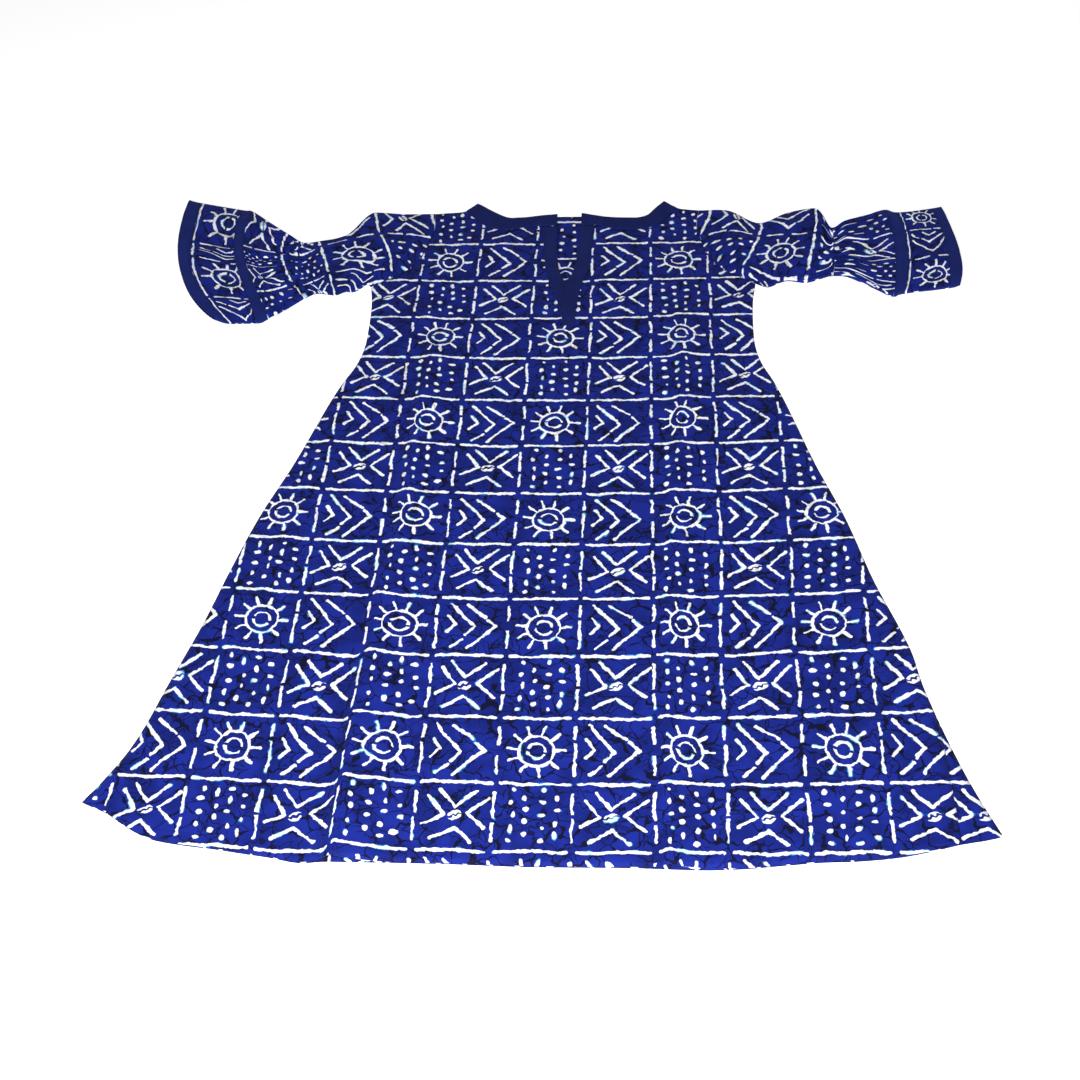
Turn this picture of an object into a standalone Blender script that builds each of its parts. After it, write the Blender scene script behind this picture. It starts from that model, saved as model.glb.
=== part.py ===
"""Ankara wax print dress laid flat: an A-line dress with a notched neck and flounced sleeves.

Each sewn piece is its own closed wall of cloth. The back panel rests on the surface, the front
panel lies on it, and the sleeves are flattened tubes beside them, 0.3 to 0.5 mm clear at seams.
X runs across the dress, Y from the hem to the neck and Z up. Tables are in millimetres: their
heights are measured up the dress from the hem line, and their reaches sideways from its middle.
"""

import bpy
import numpy as np

MM = 0.001

# Driving sizes, in millimetres
WALL = 1.2                # one layer of the printed cotton
BAND_WALL = 1.5           # the folded plain bands
LAYER_GAP = 0.3           # between two layers that touch
SEAM_GAP = 0.5            # between two pieces joined edge to edge
BAND_GAP = 0.6            # between a band and the faceted panel under it
ORIGIN_HEIGHT = 500.0     # the origin is this far above the hem line, under the back panel
CORNER_HEIGHT = 57.0      # hem corner, where the side seam ends
UNDERARM_HEIGHT = 838.0
SHOULDER_HEIGHT = 995.0
NECK_SHIFT = 5.5          # the neck lies this far off the middle of the skirt
SHIFT_FROM, SHIFT_TO = 700.0, 838.0
SLIT_FOOT = 838.0         # foot of the neck notch
NECK_INSET = 1.5          # panel edge inside the band's edge
BACK_NECK_DROP = 0.5      # back neckline below the front one
PUFF = 3.0                # air under the middle of the front panel
ROUND_SHARES = (0.012, 0.04, 0.96, 0.988)     # extra section points beside a sleeve's side folds
SLEEVE_STEPS = 2          # sections between two rows of a sleeve table

# Side seams and armhole of both panels: height, reach
WAIST_SEAM = (
    (430, 330), (515, 303), (600, 280), (650, 265), (690, 250), (735, 244), (800, 246),
    (838, 251),
)
SEAM_LEFT = ((57, 440), (82, 425), (120, 406), (205, 383), (282, 363), (345, 350)) + WAIST_SEAM
SEAM_RIGHT = ((57, 440), (120, 414), (205, 388), (250, 380), (345, 351)) + WAIST_SEAM
ARMHOLE = (
    (838, 251), (853, 231), (864, 215), (875, 203), (890, 195), (910, 187),
    (940, 181), (965, 178), (995, 181),
)
# The front's right side seam rolls inwards near the hem: height, reach
ROLLED_SEAM = ((57, 401), (100, 400), (150, 398.5), (180, 396))
# Hem line on each side, lower at the right corner: reach, height
HEM_LEFT = (
    (0, -4), (100, -2), (190, -2), (214, -4), (244, 1), (273, 5), (300, 9), (334, 13),
    (365, 19), (390, 31), (412, 45), (440, 57),
)
HEM_RIGHT = (
    (0, -4), (100, -3), (160, -4), (200, -2), (235, 2), (272, 6), (306, 8), (345, 13),
    (375, 20), (400, 27), (425, 32), (440, 36),
)
# Neckline and shoulder, from the notch outwards: reach from the neck's middle, height
NECKLINE_LEFT = (
    (16.5, 982), (32, 980), (67, 974.5), (84, 974), (100, 985), (128, 1009),
    (143, 997), (160, 995.5), (181, 995),
)
NECKLINE_RIGHT = (
    (16.5, 982), (47, 974.5), (80, 971), (108, 976), (119, 993), (129, 1009),
    (146, 997), (160, 996), (181, 995),
)
BAND_POINTS = 6           # how many points of the neckline the band's upper edge follows
# Lower edge of the neck band: reach, height
BAND_FOOT_LEFT = ((16.5, 961.5), (38, 961.5), (84, 953), (108, 959), (125, 975), (143, 997))
BAND_FOOT_RIGHT = ((16.5, 961.5), (38, 960.5), (73, 950), (116, 958), (134, 980), (146, 997))
# Half the width of the notch: height, reach
SLIT = ((838, 0), (855, 7.5), (900, 13.5), (960, 16.0), (982, 16.5))
# Placket bands, from the neck's middle: height, outer edge, inner edge
PLACKET_LEFT = (
    (753, 0, 13), (785, -5.5, 12), (815, -14.5, 5), (838, -21.5, -0.5),
    (855, -26, -7.5), (900, -31, -13.5), (960, -36, -16),
)
PLACKET_RIGHT = (
    (753, 14.5, -1), (785, 15, -4), (815, 18.5, -2), (838, 22, 1),
    (855, 27, 7.5), (900, 31, 13.5), (960, 36, 16),
)
CROSSING = (845.0, 885.0)     # the right placket climbs onto the left one between these heights
PLACKET_ROWS = 16
# Pressed folds down the front: height, place across, ridge height
FOLD_LEFT = (
    (0, -186, 9), (93, -186, 8), (174, -183, 7), (246, -176, 7), (317, -177, 6),
    (400, -166, 6), (568, -164, 6), (704, -157, 4), (760, -156, 0), (1020, -156, 0),
)
FOLD_RIGHT = (
    (0, 130, 8), (97, 130, 7), (248, 131, 6), (401, 137, 5), (552, 147, 6),
    (708, 153, 6), (774, 149, 4), (830, 152, 0), (1020, 156, 0),
)
FOLD_SPREAD = 17.0
# Columns of the front: shares of the way from the side to the fold, then from the fold inwards
OUTER_SHARES = (0.0, 0.2, 0.4, 0.6, 0.78, 0.92, 1.0)
INNER_SHARES = (0.06, 0.18, 0.33, 0.47, 0.58, 0.76, 0.88, 1.0)
# Columns of the flat back, with only those that its neckline and hem need
FLAT_OUTER = (0.0, 0.12, 0.3, 0.6, 1.0)
FLAT_INNER = (0.18, 0.33, 0.58, 1.0)
ROW_HEIGHTS = (
    57, 80, 110, 150, 200, 250, 300, 350, 400, 450, 500, 550, 600, 640, 675, 705, 735, 765,
    795, 820, 838, 855, 864, 875, 890, 905, 920, 940, 960, 978, 995,
)

# Sleeves, from the armhole to the cuff: station name, then reach and height of the section's
# top fold, of two points a third of the way apart, and of its bottom fold, then its thickness
SLEEVE_LEFT = (
    ("cap", (222, 992), (218, 940), (228, 888), (259, 842), 4.5),
    ("upper_arm", (264, 995), (252, 940), (250, 885), (271, 827), 5.5),
    ("above_elbow", (297, 946), (288, 908), (282, 868), (285, 826), 5.5),
    ("print_row", (333, 932), (325, 905), (310, 862), (297, 820), 5.5),
    ("elbow_gather", (353, 930), (350, 895), (340, 858), (318, 824), 6),
    ("elbow_seam", (378, 949), (379, 905), (362, 857), (335, 815), 6),
    ("bell", (408, 974), (410, 905), (393, 845), (356, 792), 6),
    ("strip_top", (438, 1000), (434, 915), (410, 845), (377, 772), 6),
    ("strip_foot", (452, 1003), (448, 915), (424, 843), (391, 764), 6),
    ("band_top", (516, 1022), (511, 936), (491, 856), (427, 764), 6),
    ("cuff", (534, 1030), (530, 938), (504, 848), (446, 772), 5.5),
)
SLEEVE_RIGHT = (
    ("cap", (222, 990), (218, 940), (230, 885), (258, 832), 4.5),
    ("upper_arm", (262, 960), (257, 918), (256, 872), (267, 828), 5.5),
    ("above_elbow", (300, 981), (296, 930), (290, 880), (292, 840), 6),
    ("print_row", (338, 991), (334, 940), (322, 872), (315, 838), 6),
    ("elbow_seam", (357, 948), (357, 915), (355, 880), (351, 850), 6),
    ("bell_flare", (376, 963), (376, 925), (375, 882), (371, 846), 6),
    ("bell", (405, 974), (405, 925), (403, 868), (402, 822), 6),
    ("strip_top", (431, 984), (434, 935), (432, 872), (423, 806), 6),
    ("strip_foot", (447, 977), (451, 935), (449, 870), (437, 812), 6),
    ("band_top", (491, 986), (499, 940), (501, 880), (494, 822), 6),
    ("cuff", (506, 991), (513, 940), (517, 880), (509, 828), 5.5),
)
ARMHOLE_THICKNESS = 4.5
# Sewn pieces of a sleeve: name, first station, last station, wall
SLEEVE_PIECES = (
    ("sleeve", "armhole", "elbow_seam", WALL),
    ("bell", "elbow_seam", "strip_top", WALL),
    ("strip", "strip_top", "strip_foot", BAND_WALL),
    ("flounce", "strip_foot", "band_top", WALL),
    ("cuff_band", "band_top", "cuff", BAND_WALL),
)
UNDER_FLAT = 0.5          # share of a section's sine past which its underside lies flat
SIDE_ROUND = 0.65         # exponent of the dome over a section

PRINT_BLUE = (0.012, 0.020, 0.240, 1.0)
BAND_NAVY = (0.008, 0.014, 0.095, 1.0)


def clear_scene():
    for item in list(bpy.data.objects):
        bpy.data.objects.remove(item, do_unlink=True)


def smooth(value, low, high):
    """0 below low, 1 above high, and a smooth step between."""
    share = np.clip((value - low) / (high - low), 0.0, 1.0)
    return share * share * (3.0 - 2.0 * share)


def curve_through(rows, at, column=1):
    """A smooth curve through one column of a table, with no overshoot, read at any place."""
    places = np.array([row[0] for row in rows], float)
    values = np.array([row[column] for row in rows], float)
    steps = np.diff(places)
    slopes = np.diff(values) / steps
    tangents = np.concatenate([slopes[:1], (slopes[:-1] + slopes[1:]) / 2, slopes[-1:]])
    flat = slopes[:-1] * slopes[1:] <= 0
    tangents[1:-1][flat] = 0.0
    at = np.clip(np.asarray(at, float), places[0], places[-1])
    span = np.clip(np.searchsorted(places, at, side="right") - 1, 0, len(steps) - 1)
    share = (at - places[span]) / steps[span]
    start, end = values[span], values[span + 1]
    rise_start, rise_end = tangents[span] * steps[span], tangents[span + 1] * steps[span]
    cubic = 2 * start - 2 * end + rise_start + rise_end
    square = -3 * start + 3 * end - 2 * rise_start - rise_end
    return ((cubic * share + square) * share + rise_start) * share + start


def side_reach(height, side):
    """Reach of a panel's edge: the side seam below the underarm and the armhole above it."""
    left, right = curve_through(SEAM_LEFT, height), curve_through(SEAM_RIGHT, height)
    seam = np.where(np.asarray(side) < 0, left, right)
    return np.where(height <= UNDERARM_HEIGHT, seam, curve_through(ARMHOLE, height))


def front_side_reach(height, side):
    """The front's edge, which on the right is drawn inwards near the hem."""
    reach = side_reach(height, side)
    if side < 0:
        return reach
    rolled = curve_through(ROLLED_SEAM, height)
    return np.where(height < ROLLED_SEAM[-1][0], np.minimum(rolled, reach), reach)


def neck_middle(height):
    return NECK_SHIFT * smooth(height, SHIFT_FROM, SHIFT_TO)


def fold_ridge(rows, x, height):
    """A pressed fold: a ridge whose height dies away on both sides of its line."""
    distance = np.abs(x - curve_through(rows, height))
    return curve_through(rows, height, 2) * np.exp(-((distance / FOLD_SPREAD) ** 1.3))


def front_top(x, height):
    """Upper face of the front panel above the surface: two layers, the air between them and folds."""
    limit = side_reach(np.clip(height, CORNER_HEIGHT, SHOULDER_HEIGHT), x)
    across = np.clip(np.abs(x) / limit, 0, 1)
    air = PUFF * (1 - across**4) * smooth(height, -20, 60) * (1 - 0.6 * smooth(height, 860, 1000))
    ridges = fold_ridge(FOLD_LEFT, x, height) + fold_ridge(FOLD_RIGHT, x, height)
    return WALL + LAYER_GAP + WALL + air + ridges


def panel_grid(side, side_curve, fold_rows, slit_curve, top_drop, outer_shares, inner_shares):
    """Plan points of half a panel, rows up the dress and columns from the side to the middle."""
    rows = np.array(ROW_HEIGHTS, float)
    reach = side_curve(rows, side)
    fold = curve_through(fold_rows, rows)
    inner = side * neck_middle(rows) + slit_curve(rows)
    outer_part = reach[:, None] + (fold - reach)[:, None] * np.array(outer_shares)
    inner_part = fold[:, None] + (inner - fold)[:, None] * np.array(inner_shares)
    x = side * np.concatenate([outer_part, inner_part], axis=1)
    neck_reach = np.abs(x - neck_middle(SHOULDER_HEIGHT))[-1]
    neckline = NECKLINE_LEFT if side < 0 else NECKLINE_RIGHT
    top = curve_through(neckline, neck_reach) - top_drop - SHOULDER_HEIGHT
    height = rows[:, None] + top[None, :] * smooth(rows, 860, SHOULDER_HEIGHT)[:, None]
    hem = curve_through(HEM_LEFT if side < 0 else HEM_RIGHT, np.abs(x[0])) - CORNER_HEIGHT
    height += hem[None, :] * (1 - smooth(rows, CORNER_HEIGHT, 250))[:, None]
    return x, height


def grid_faces(rows, columns, turned):
    corner = np.arange(rows - 1)[:, None] * columns + np.arange(columns - 1)[None, :]
    faces = np.stack([corner, corner + 1, corner + columns + 1, corner + columns], -1).reshape(-1, 4)
    return faces[:, ::-1] if turned else faces


def add_object(name, points, faces, material, collection):
    """A mesh object from points in millimetres, with heights measured from the hem line."""
    placed = (np.asarray(points) - (0.0, ORIGIN_HEIGHT, 0.0)) * MM
    mesh = bpy.data.meshes.new(name)
    mesh.from_pydata(placed.tolist(), [], [list(map(int, face)) for face in faces])
    mesh.materials.append(material)
    mesh.validate()
    made = bpy.data.objects.new(name, mesh)
    collection.objects.link(made)
    mesh.shade_smooth()
    return made


def add_wall(made, wall):
    """A wall of cloth below the face that was drawn."""
    solid = made.modifiers.new("wall", "SOLIDIFY")
    solid.thickness = wall * MM
    solid.offset = -1.0
    solid.use_even_offset = False


def weld_middle(made):
    weld = made.modifiers.new("middle_seam", "WELD")
    weld.merge_threshold = 0.00001


def panel(name, height_of, halves, material, collection):
    """A panel from its left and right halves, which share their middle column where they meet."""
    points, faces, start = [], [], 0
    for side, (x, height) in zip((-1, 1), halves):
        points.append(np.stack([x, height, height_of(x, height)], -1).reshape(-1, 3))
        faces.append(grid_faces(*x.shape, turned=side > 0) + start)
        start += x.size
    made = add_object(name, np.concatenate(points), np.concatenate(faces), material, collection)
    weld_middle(made)
    add_wall(made, WALL)
    return made


def front_panel(material, collection):
    def slit(rows):
        inset = NECK_INSET * smooth(rows, SLIT_FOOT, SLIT_FOOT + 15)
        return curve_through(SLIT, rows) + inset

    halves = []
    for side, fold in ((-1, mirrored(FOLD_LEFT)), (1, FOLD_RIGHT)):
        shape = (front_side_reach, fold, slit, NECK_INSET, OUTER_SHARES, INNER_SHARES)
        halves.append(panel_grid(side, *shape))
    return panel("front_panel", front_top, halves, material, collection)


def back_panel(material, collection):
    def no_slit(rows):
        return np.zeros(len(rows))

    def flat(x, _height):
        return np.full(x.shape, WALL)

    halves = [
        panel_grid(side, side_reach, fold, no_slit, BACK_NECK_DROP, FLAT_OUTER, FLAT_INNER)
        for side, fold in ((-1, mirrored(FOLD_LEFT)), (1, FOLD_RIGHT))
    ]
    return panel("back_panel", flat, halves, material, collection)


def mirrored(rows):
    """A fold table read outwards from the middle, so that both halves use the same columns."""
    return tuple((row[0], abs(row[1]), row[2]) for row in rows)


def strip_between(name, first_edge, second_edge, lift, turned, material, collection):
    """A band on the front panel between two edges, made from the panel's own surface and raised."""
    shares = np.linspace(0.0, 1.0, 4)[None, :, None]
    plan = first_edge[:, None, :] * (1 - shares) + second_edge[:, None, :] * shares
    x, height = plan[..., 0], plan[..., 1]
    top = front_top(x, height) + BAND_GAP + BAND_WALL + lift(height)
    points = np.stack([x, height, top], -1).reshape(-1, 3)
    made = add_object(name, points, grid_faces(*x.shape, turned=turned), material, collection)
    add_wall(made, BAND_WALL)
    return made


def resampled(rows, count):
    """Points evenly spaced along a line of reach and height pairs."""
    line = np.array(rows, float)
    walked = np.concatenate([[0], np.cumsum(np.hypot(*np.diff(line, axis=0).T))])
    at = np.linspace(0, walked[-1], count)
    return np.stack([np.interp(at, walked, line[:, 0]), np.interp(at, walked, line[:, 1])], -1)


def neck_band(side, label, material, collection):
    top = (NECKLINE_LEFT if side < 0 else NECKLINE_RIGHT)[:BAND_POINTS]
    edges = []
    for rows in (top, BAND_FOOT_LEFT if side < 0 else BAND_FOOT_RIGHT):
        edge = resampled(rows, 15)
        edge[:, 0] = NECK_SHIFT + side * edge[:, 0]
        edges.append(edge)
    return strip_between(
        f"neck_band_{label}", *edges, lambda height: 0.0 * height, side > 0, material, collection
    )


def placket_band(label, rows, climbs, material, collection):
    heights = np.linspace(rows[0][0], rows[-1][0] - SEAM_GAP, PLACKET_ROWS)
    edges = []
    for column in (1, 2):
        across = NECK_SHIFT + curve_through(rows, heights, column)
        edges.append(np.stack([across, heights], -1))

    def lift(height):
        step = BAND_WALL + BAND_GAP
        return step * (1 - smooth(height, *CROSSING)) if climbs else 0.0 * height

    return strip_between(
        f"placket_band_{label}", *edges, lift, rows[-1][1] > 0, material, collection
    )


def sleeve_sections(side, table):
    """Section curves from the armhole outwards, and the thickness of each.

    A section has one point for each share of its way from the top fold to the bottom fold.
    """
    heights = np.array([height for height in ROW_HEIGHTS if height >= UNDERARM_HEIGHT], float)[::-1]
    edge = np.stack([side_reach(heights, side), heights], -1)
    walked = np.concatenate([[0], np.cumsum(np.hypot(*np.diff(edge, axis=0).T))])
    share = np.union1d(walked / walked[-1], ROUND_SHARES)
    first = np.stack([np.interp(share * walked[-1], walked, edge[:, k]) for k in (0, 1)], -1)
    first[:, 0] += SEAM_GAP
    first[:, 1] += SEAM_GAP * share
    sections, thickness = [first], [ARMHOLE_THICKNESS]
    knots = np.array([0, 1 / 3, 2 / 3, 1])
    for _name, *corners, thick in table:
        weights = [
            np.prod([(share - knots[j]) / (knots[i] - knots[j]) for j in range(4) if j != i], axis=0)
            for i in range(4)
        ]
        sections.append(sum(w[:, None] * np.array(c, float) for w, c in zip(weights, corners)))
        thickness.append(thick)
    sections = np.array(sections)
    sections[..., 0] *= side
    return share, sections, np.array(thickness, float)


def between(stations, at):
    """Values of every station curve at fractional places along the sleeve."""
    places = np.arange(len(stations), dtype=float)
    flat = stations.reshape(len(stations), -1)
    found = [curve_through(list(zip(places, flat[:, k])), at) for k in range(flat.shape[1])]
    return np.stack(found, -1).reshape((len(at),) + stations.shape[1:])


def sleeve_ring(plan, thick, share, inset):
    """One flattened ring: over the top from fold to fold, and back along the flat underside."""
    bow = 2 * np.sqrt(np.clip(share * (1 - share), 0, 1))
    half = thick / 2
    over = half + (half - inset) * bow**SIDE_ROUND
    under = half - (half - inset) * np.minimum(1, bow / UNDER_FLAT) ** SIDE_ROUND
    middle = (plan[0] + plan[-1]) / 2
    width = np.hypot(*(plan[-1] - plan[0]))
    drawn_in = middle + (plan - middle) * (1 - 2 * inset / width)
    upper = np.column_stack([drawn_in, over])
    lower = np.column_stack([drawn_in, under])[-2:0:-1]
    return np.concatenate([upper, lower])


def sleeve_tube(name, side, table, first, last, wall, material, collection):
    """A stretch of the sleeve as a flattened tube, open at both ends."""
    names = ["armhole"] + [row[0] for row in table]
    start, end = names.index(first), names.index(last)
    share, sections, thickness = sleeve_sections(side, table)
    steps = max(3, (end - start) * SLEEVE_STEPS + 1)
    at = np.linspace(start, end, steps)
    plans, thick = between(sections, at), between(thickness[:, None], at)[:, 0]
    if start > 0:
        plans[0, :, 0] += side * SEAM_GAP
    rings = [
        [sleeve_ring(plan, depth, share, inset) for plan, depth in zip(plans, thick)]
        for inset in (0.0, wall)
    ]
    points = np.array(rings).reshape(-1, 3)
    count = 2 * len(share) - 2
    around = np.arange(count)
    ahead = (around + 1) % count
    faces = []
    for step in range(steps - 1):
        low, high = step * count, (step + 1) * count
        outside = np.stack([low + around, low + ahead, high + ahead, high + around], -1)
        inside = outside[:, ::-1] + steps * count
        faces += [outside, inside]
    inner = steps * count
    last_ring = (steps - 1) * count
    faces.append(np.stack([ahead, around, inner + around, inner + ahead], -1))
    faces.append(
        np.stack([around, ahead, inner + ahead, inner + around], -1) + last_ring
    )
    faces = np.concatenate(faces)
    return add_object(name, points, faces[:, ::-1] if side < 0 else faces, material, collection)


def cloth_material(name, colour, roughness):
    material = bpy.data.materials.new(name)
    material.use_nodes = True
    shader = material.node_tree.nodes["Principled BSDF"]
    shader.inputs["Base Color"].default_value = colour
    shader.inputs["Roughness"].default_value = roughness
    shader.inputs["Metallic"].default_value = 0.0
    material.diffuse_color = colour
    return material


def main():
    clear_scene()
    collection = bpy.data.collections.new("wax_print_dress")
    bpy.context.scene.collection.children.link(collection)
    printed = cloth_material("printed_cotton", PRINT_BLUE, 0.75)
    plain = cloth_material("plain_navy_cotton", BAND_NAVY, 0.7)
    back_panel(printed, collection)
    front_panel(printed, collection)
    placket_band("left", PLACKET_LEFT, False, plain, collection)
    placket_band("right", PLACKET_RIGHT, True, plain, collection)
    for side, label, table in ((-1, "left", SLEEVE_LEFT), (1, "right", SLEEVE_RIGHT)):
        neck_band(side, label, plain, collection)
        for piece, first, last, wall in SLEEVE_PIECES:
            cloth = plain if wall == BAND_WALL else printed
            sleeve_tube(f"{piece}_{label}", side, table, first, last, wall, cloth, collection)


main()
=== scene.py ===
"""Looks of an ankara wax print dress that lies flat: printed cotton, plain navy bands, studio.

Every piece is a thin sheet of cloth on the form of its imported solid. Sizes are millimetres in the
garment's own frame: reach across from its middle, height up from the hem line, Z up.
"""

import logging
import math
from collections.abc import Callable, Sequence
from dataclasses import dataclass, field
from enum import Enum

import bpy
import numpy as np
from mathutils import Matrix, Vector


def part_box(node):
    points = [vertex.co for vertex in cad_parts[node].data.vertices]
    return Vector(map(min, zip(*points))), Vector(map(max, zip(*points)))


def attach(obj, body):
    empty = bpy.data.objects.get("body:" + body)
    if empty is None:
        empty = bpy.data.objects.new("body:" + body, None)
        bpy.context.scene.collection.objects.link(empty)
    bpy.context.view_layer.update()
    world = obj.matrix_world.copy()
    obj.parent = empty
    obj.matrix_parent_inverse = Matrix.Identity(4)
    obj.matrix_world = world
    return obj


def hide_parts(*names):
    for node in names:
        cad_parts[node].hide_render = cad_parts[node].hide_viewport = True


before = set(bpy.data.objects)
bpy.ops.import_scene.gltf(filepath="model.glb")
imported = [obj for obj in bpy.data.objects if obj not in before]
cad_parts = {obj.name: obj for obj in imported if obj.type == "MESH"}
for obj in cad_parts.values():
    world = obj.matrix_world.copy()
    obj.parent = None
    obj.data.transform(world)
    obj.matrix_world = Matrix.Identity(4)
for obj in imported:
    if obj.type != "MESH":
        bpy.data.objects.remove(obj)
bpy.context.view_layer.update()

LOG = logging.getLogger("dress")
MM = 0.001
TILE = 76.0               # one tile of the print
HEM_REACH = 440.0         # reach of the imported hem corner
HEM_SAG = 4.0             # how far the hem dips under the hem line
PACKED_PEAK = 1009.0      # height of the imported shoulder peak
NO_STITCHES = 900.0       # distance from an edge that has no row of stitches
Array = np.ndarray
Material = bpy.types.Material
Socket = bpy.types.NodeSocket
Row = Sequence[float]
Table = tuple[Row, ...]
Four = tuple[float, float, float, float]


class Side(Enum):
    """The two sides of the dress, as the sign of the reach."""

    LEFT = -1
    RIGHT = 1

    @property
    def label(self) -> str:
        """The word used in piece names."""
        return self.name.lower()


def put(name: str, data: bpy.types.ID) -> bpy.types.Object:
    """Makes an object from its data and links it to the scene."""
    made = bpy.data.objects.new(name, data)
    bpy.context.scene.collection.objects.link(made)
    return made


# ---------------------------------------------------------------- curves and fields


def smooth(value: Array | float, low: float, high: float) -> Array:
    """Smooth step from 0 at low to 1 at high: s²(3 − 2s) of the share s."""
    share = np.clip((np.asarray(value, float) - low) / (high - low), 0.0, 1.0)
    return share * share * (3.0 - 2.0 * share)


def curve_through(rows: Sequence[Row], at: Array | float, column: int = 1) -> Array:
    """Smooth curve through one column of a table, with no overshoot.

    Args:
        rows: the table, its places in the first column and rising.
        at: where to read it. Outside the table the end value holds.
        column: the column to read.

    Returns:
        Cubic Hermite values, whose slope is the mean of the neighbouring spans'.
    """
    places = np.array([row[0] for row in rows], float)
    values = np.array([row[column] for row in rows], float)
    steps = np.diff(places)
    slopes = np.diff(values) / steps
    tangents = np.concatenate([slopes[:1], (slopes[:-1] + slopes[1:]) / 2, slopes[-1:]])
    tangents[1:-1][slopes[:-1] * slopes[1:] <= 0] = 0.0
    at = np.clip(np.asarray(at, float), places[0], places[-1])
    span = np.clip(np.searchsorted(places, at, side="right") - 1, 0, len(steps) - 1)
    share = (at - places[span]) / steps[span]
    start, end = values[span], values[span + 1]
    out, into = tangents[span] * steps[span], tangents[span + 1] * steps[span]
    cubic = 2 * start - 2 * end + out + into
    square = -3 * start + 3 * end - 2 * out - into
    return ((cubic * share + square) * share + out) * share + start


def crease_field(x: Array, y: Array, creases: Sequence[Row]) -> Array:
    """Height that the listed creases add at each point.

    Args:
        x: reaches of the points.
        y: heights of the points.
        creases: rows of start x, start y, end x, end y, height and spread. A height below zero
            is a trough.

    Returns:
        The sum over the creases of height · sin(π·t)^0.6 · exp(−(d/spread)²), where t is the
        share of the way along a crease and d the distance from it.
    """
    total = np.zeros(np.shape(x))
    for start_x, start_y, end_x, end_y, height, spread in creases:
        along = np.array([end_x - start_x, end_y - start_y], float)
        length = float(np.hypot(*along))
        ahead = ((x - start_x) * along[0] + (y - start_y) * along[1]) / length**2
        aside = ((x - start_x) * along[1] - (y - start_y) * along[0]) / length
        taper = np.sin(np.pi * np.clip(ahead, 0, 1)) ** 0.6
        total = total + height * taper * np.exp(-((aside / spread) ** 2))
    return total


def slack_field(x: Array, y: Array, seed: int, wave: float) -> Array:
    """Gentle unevenness of lying cloth, about −1 to 1.

    Args:
        x: reaches of the points.
        y: heights of the points.
        seed: picks the pattern.
        wave: typical length of a wave.

    Returns:
        The mean of fourteen sines with scattered directions, lengths and starts.
    """
    chance = np.random.default_rng(seed)
    turn = chance.uniform(0, np.pi, 14)
    pitch = 2 * np.pi / (wave * chance.uniform(0.6, 1.8, 14))
    start = chance.uniform(0, 2 * np.pi, 14)
    way_x, way_y = pitch * np.cos(turn), pitch * np.sin(turn)
    waves = np.sin(x[..., None] * way_x + y[..., None] * way_y + start)
    return waves.mean(-1) * 2.6


# ---------------------------------------------------------------- the garment's shape


@dataclass(frozen=True)
class GarmentFrame:
    """Where the garment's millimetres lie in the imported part, in metres."""

    middle: float
    hem_line: float
    across: float
    up: float

    @classmethod
    def from_part(cls, half_width: float, hem_sag: float, shoulder: float) -> "GarmentFrame":
        """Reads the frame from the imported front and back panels.

        Args:
            half_width: reach of the hem corner.
            hem_sag: how far the hem dips under the hem line.
            shoulder: height of the highest point of the front panel.

        Returns:
            The frame, with the scales that make the tables fit the solids.
        """
        back_low, back_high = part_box("back_panel")
        front_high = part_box("front_panel")[1]
        up = (front_high.y - back_low.y) / ((shoulder + hem_sag) * MM)
        across = (back_high.x - back_low.x) / (2 * half_width * MM)
        middle = (back_high.x + back_low.x) / 2
        return cls(middle, back_low.y + hem_sag * MM * up, across, up)

    def place(self, points: Array) -> Array:
        """Garment millimetres as metres in the part's frame."""
        scale = np.array([self.across, self.up, 1.0]) * MM
        return points * scale + (self.middle, self.hem_line, 0.0)


# Height and reach of the side seams above the hips
SEAM_TOP = (
    (430, 330), (515, 303), (600, 280), (650, 265), (690, 250), (735, 244), (800, 246), (838, 251),
)


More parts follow.
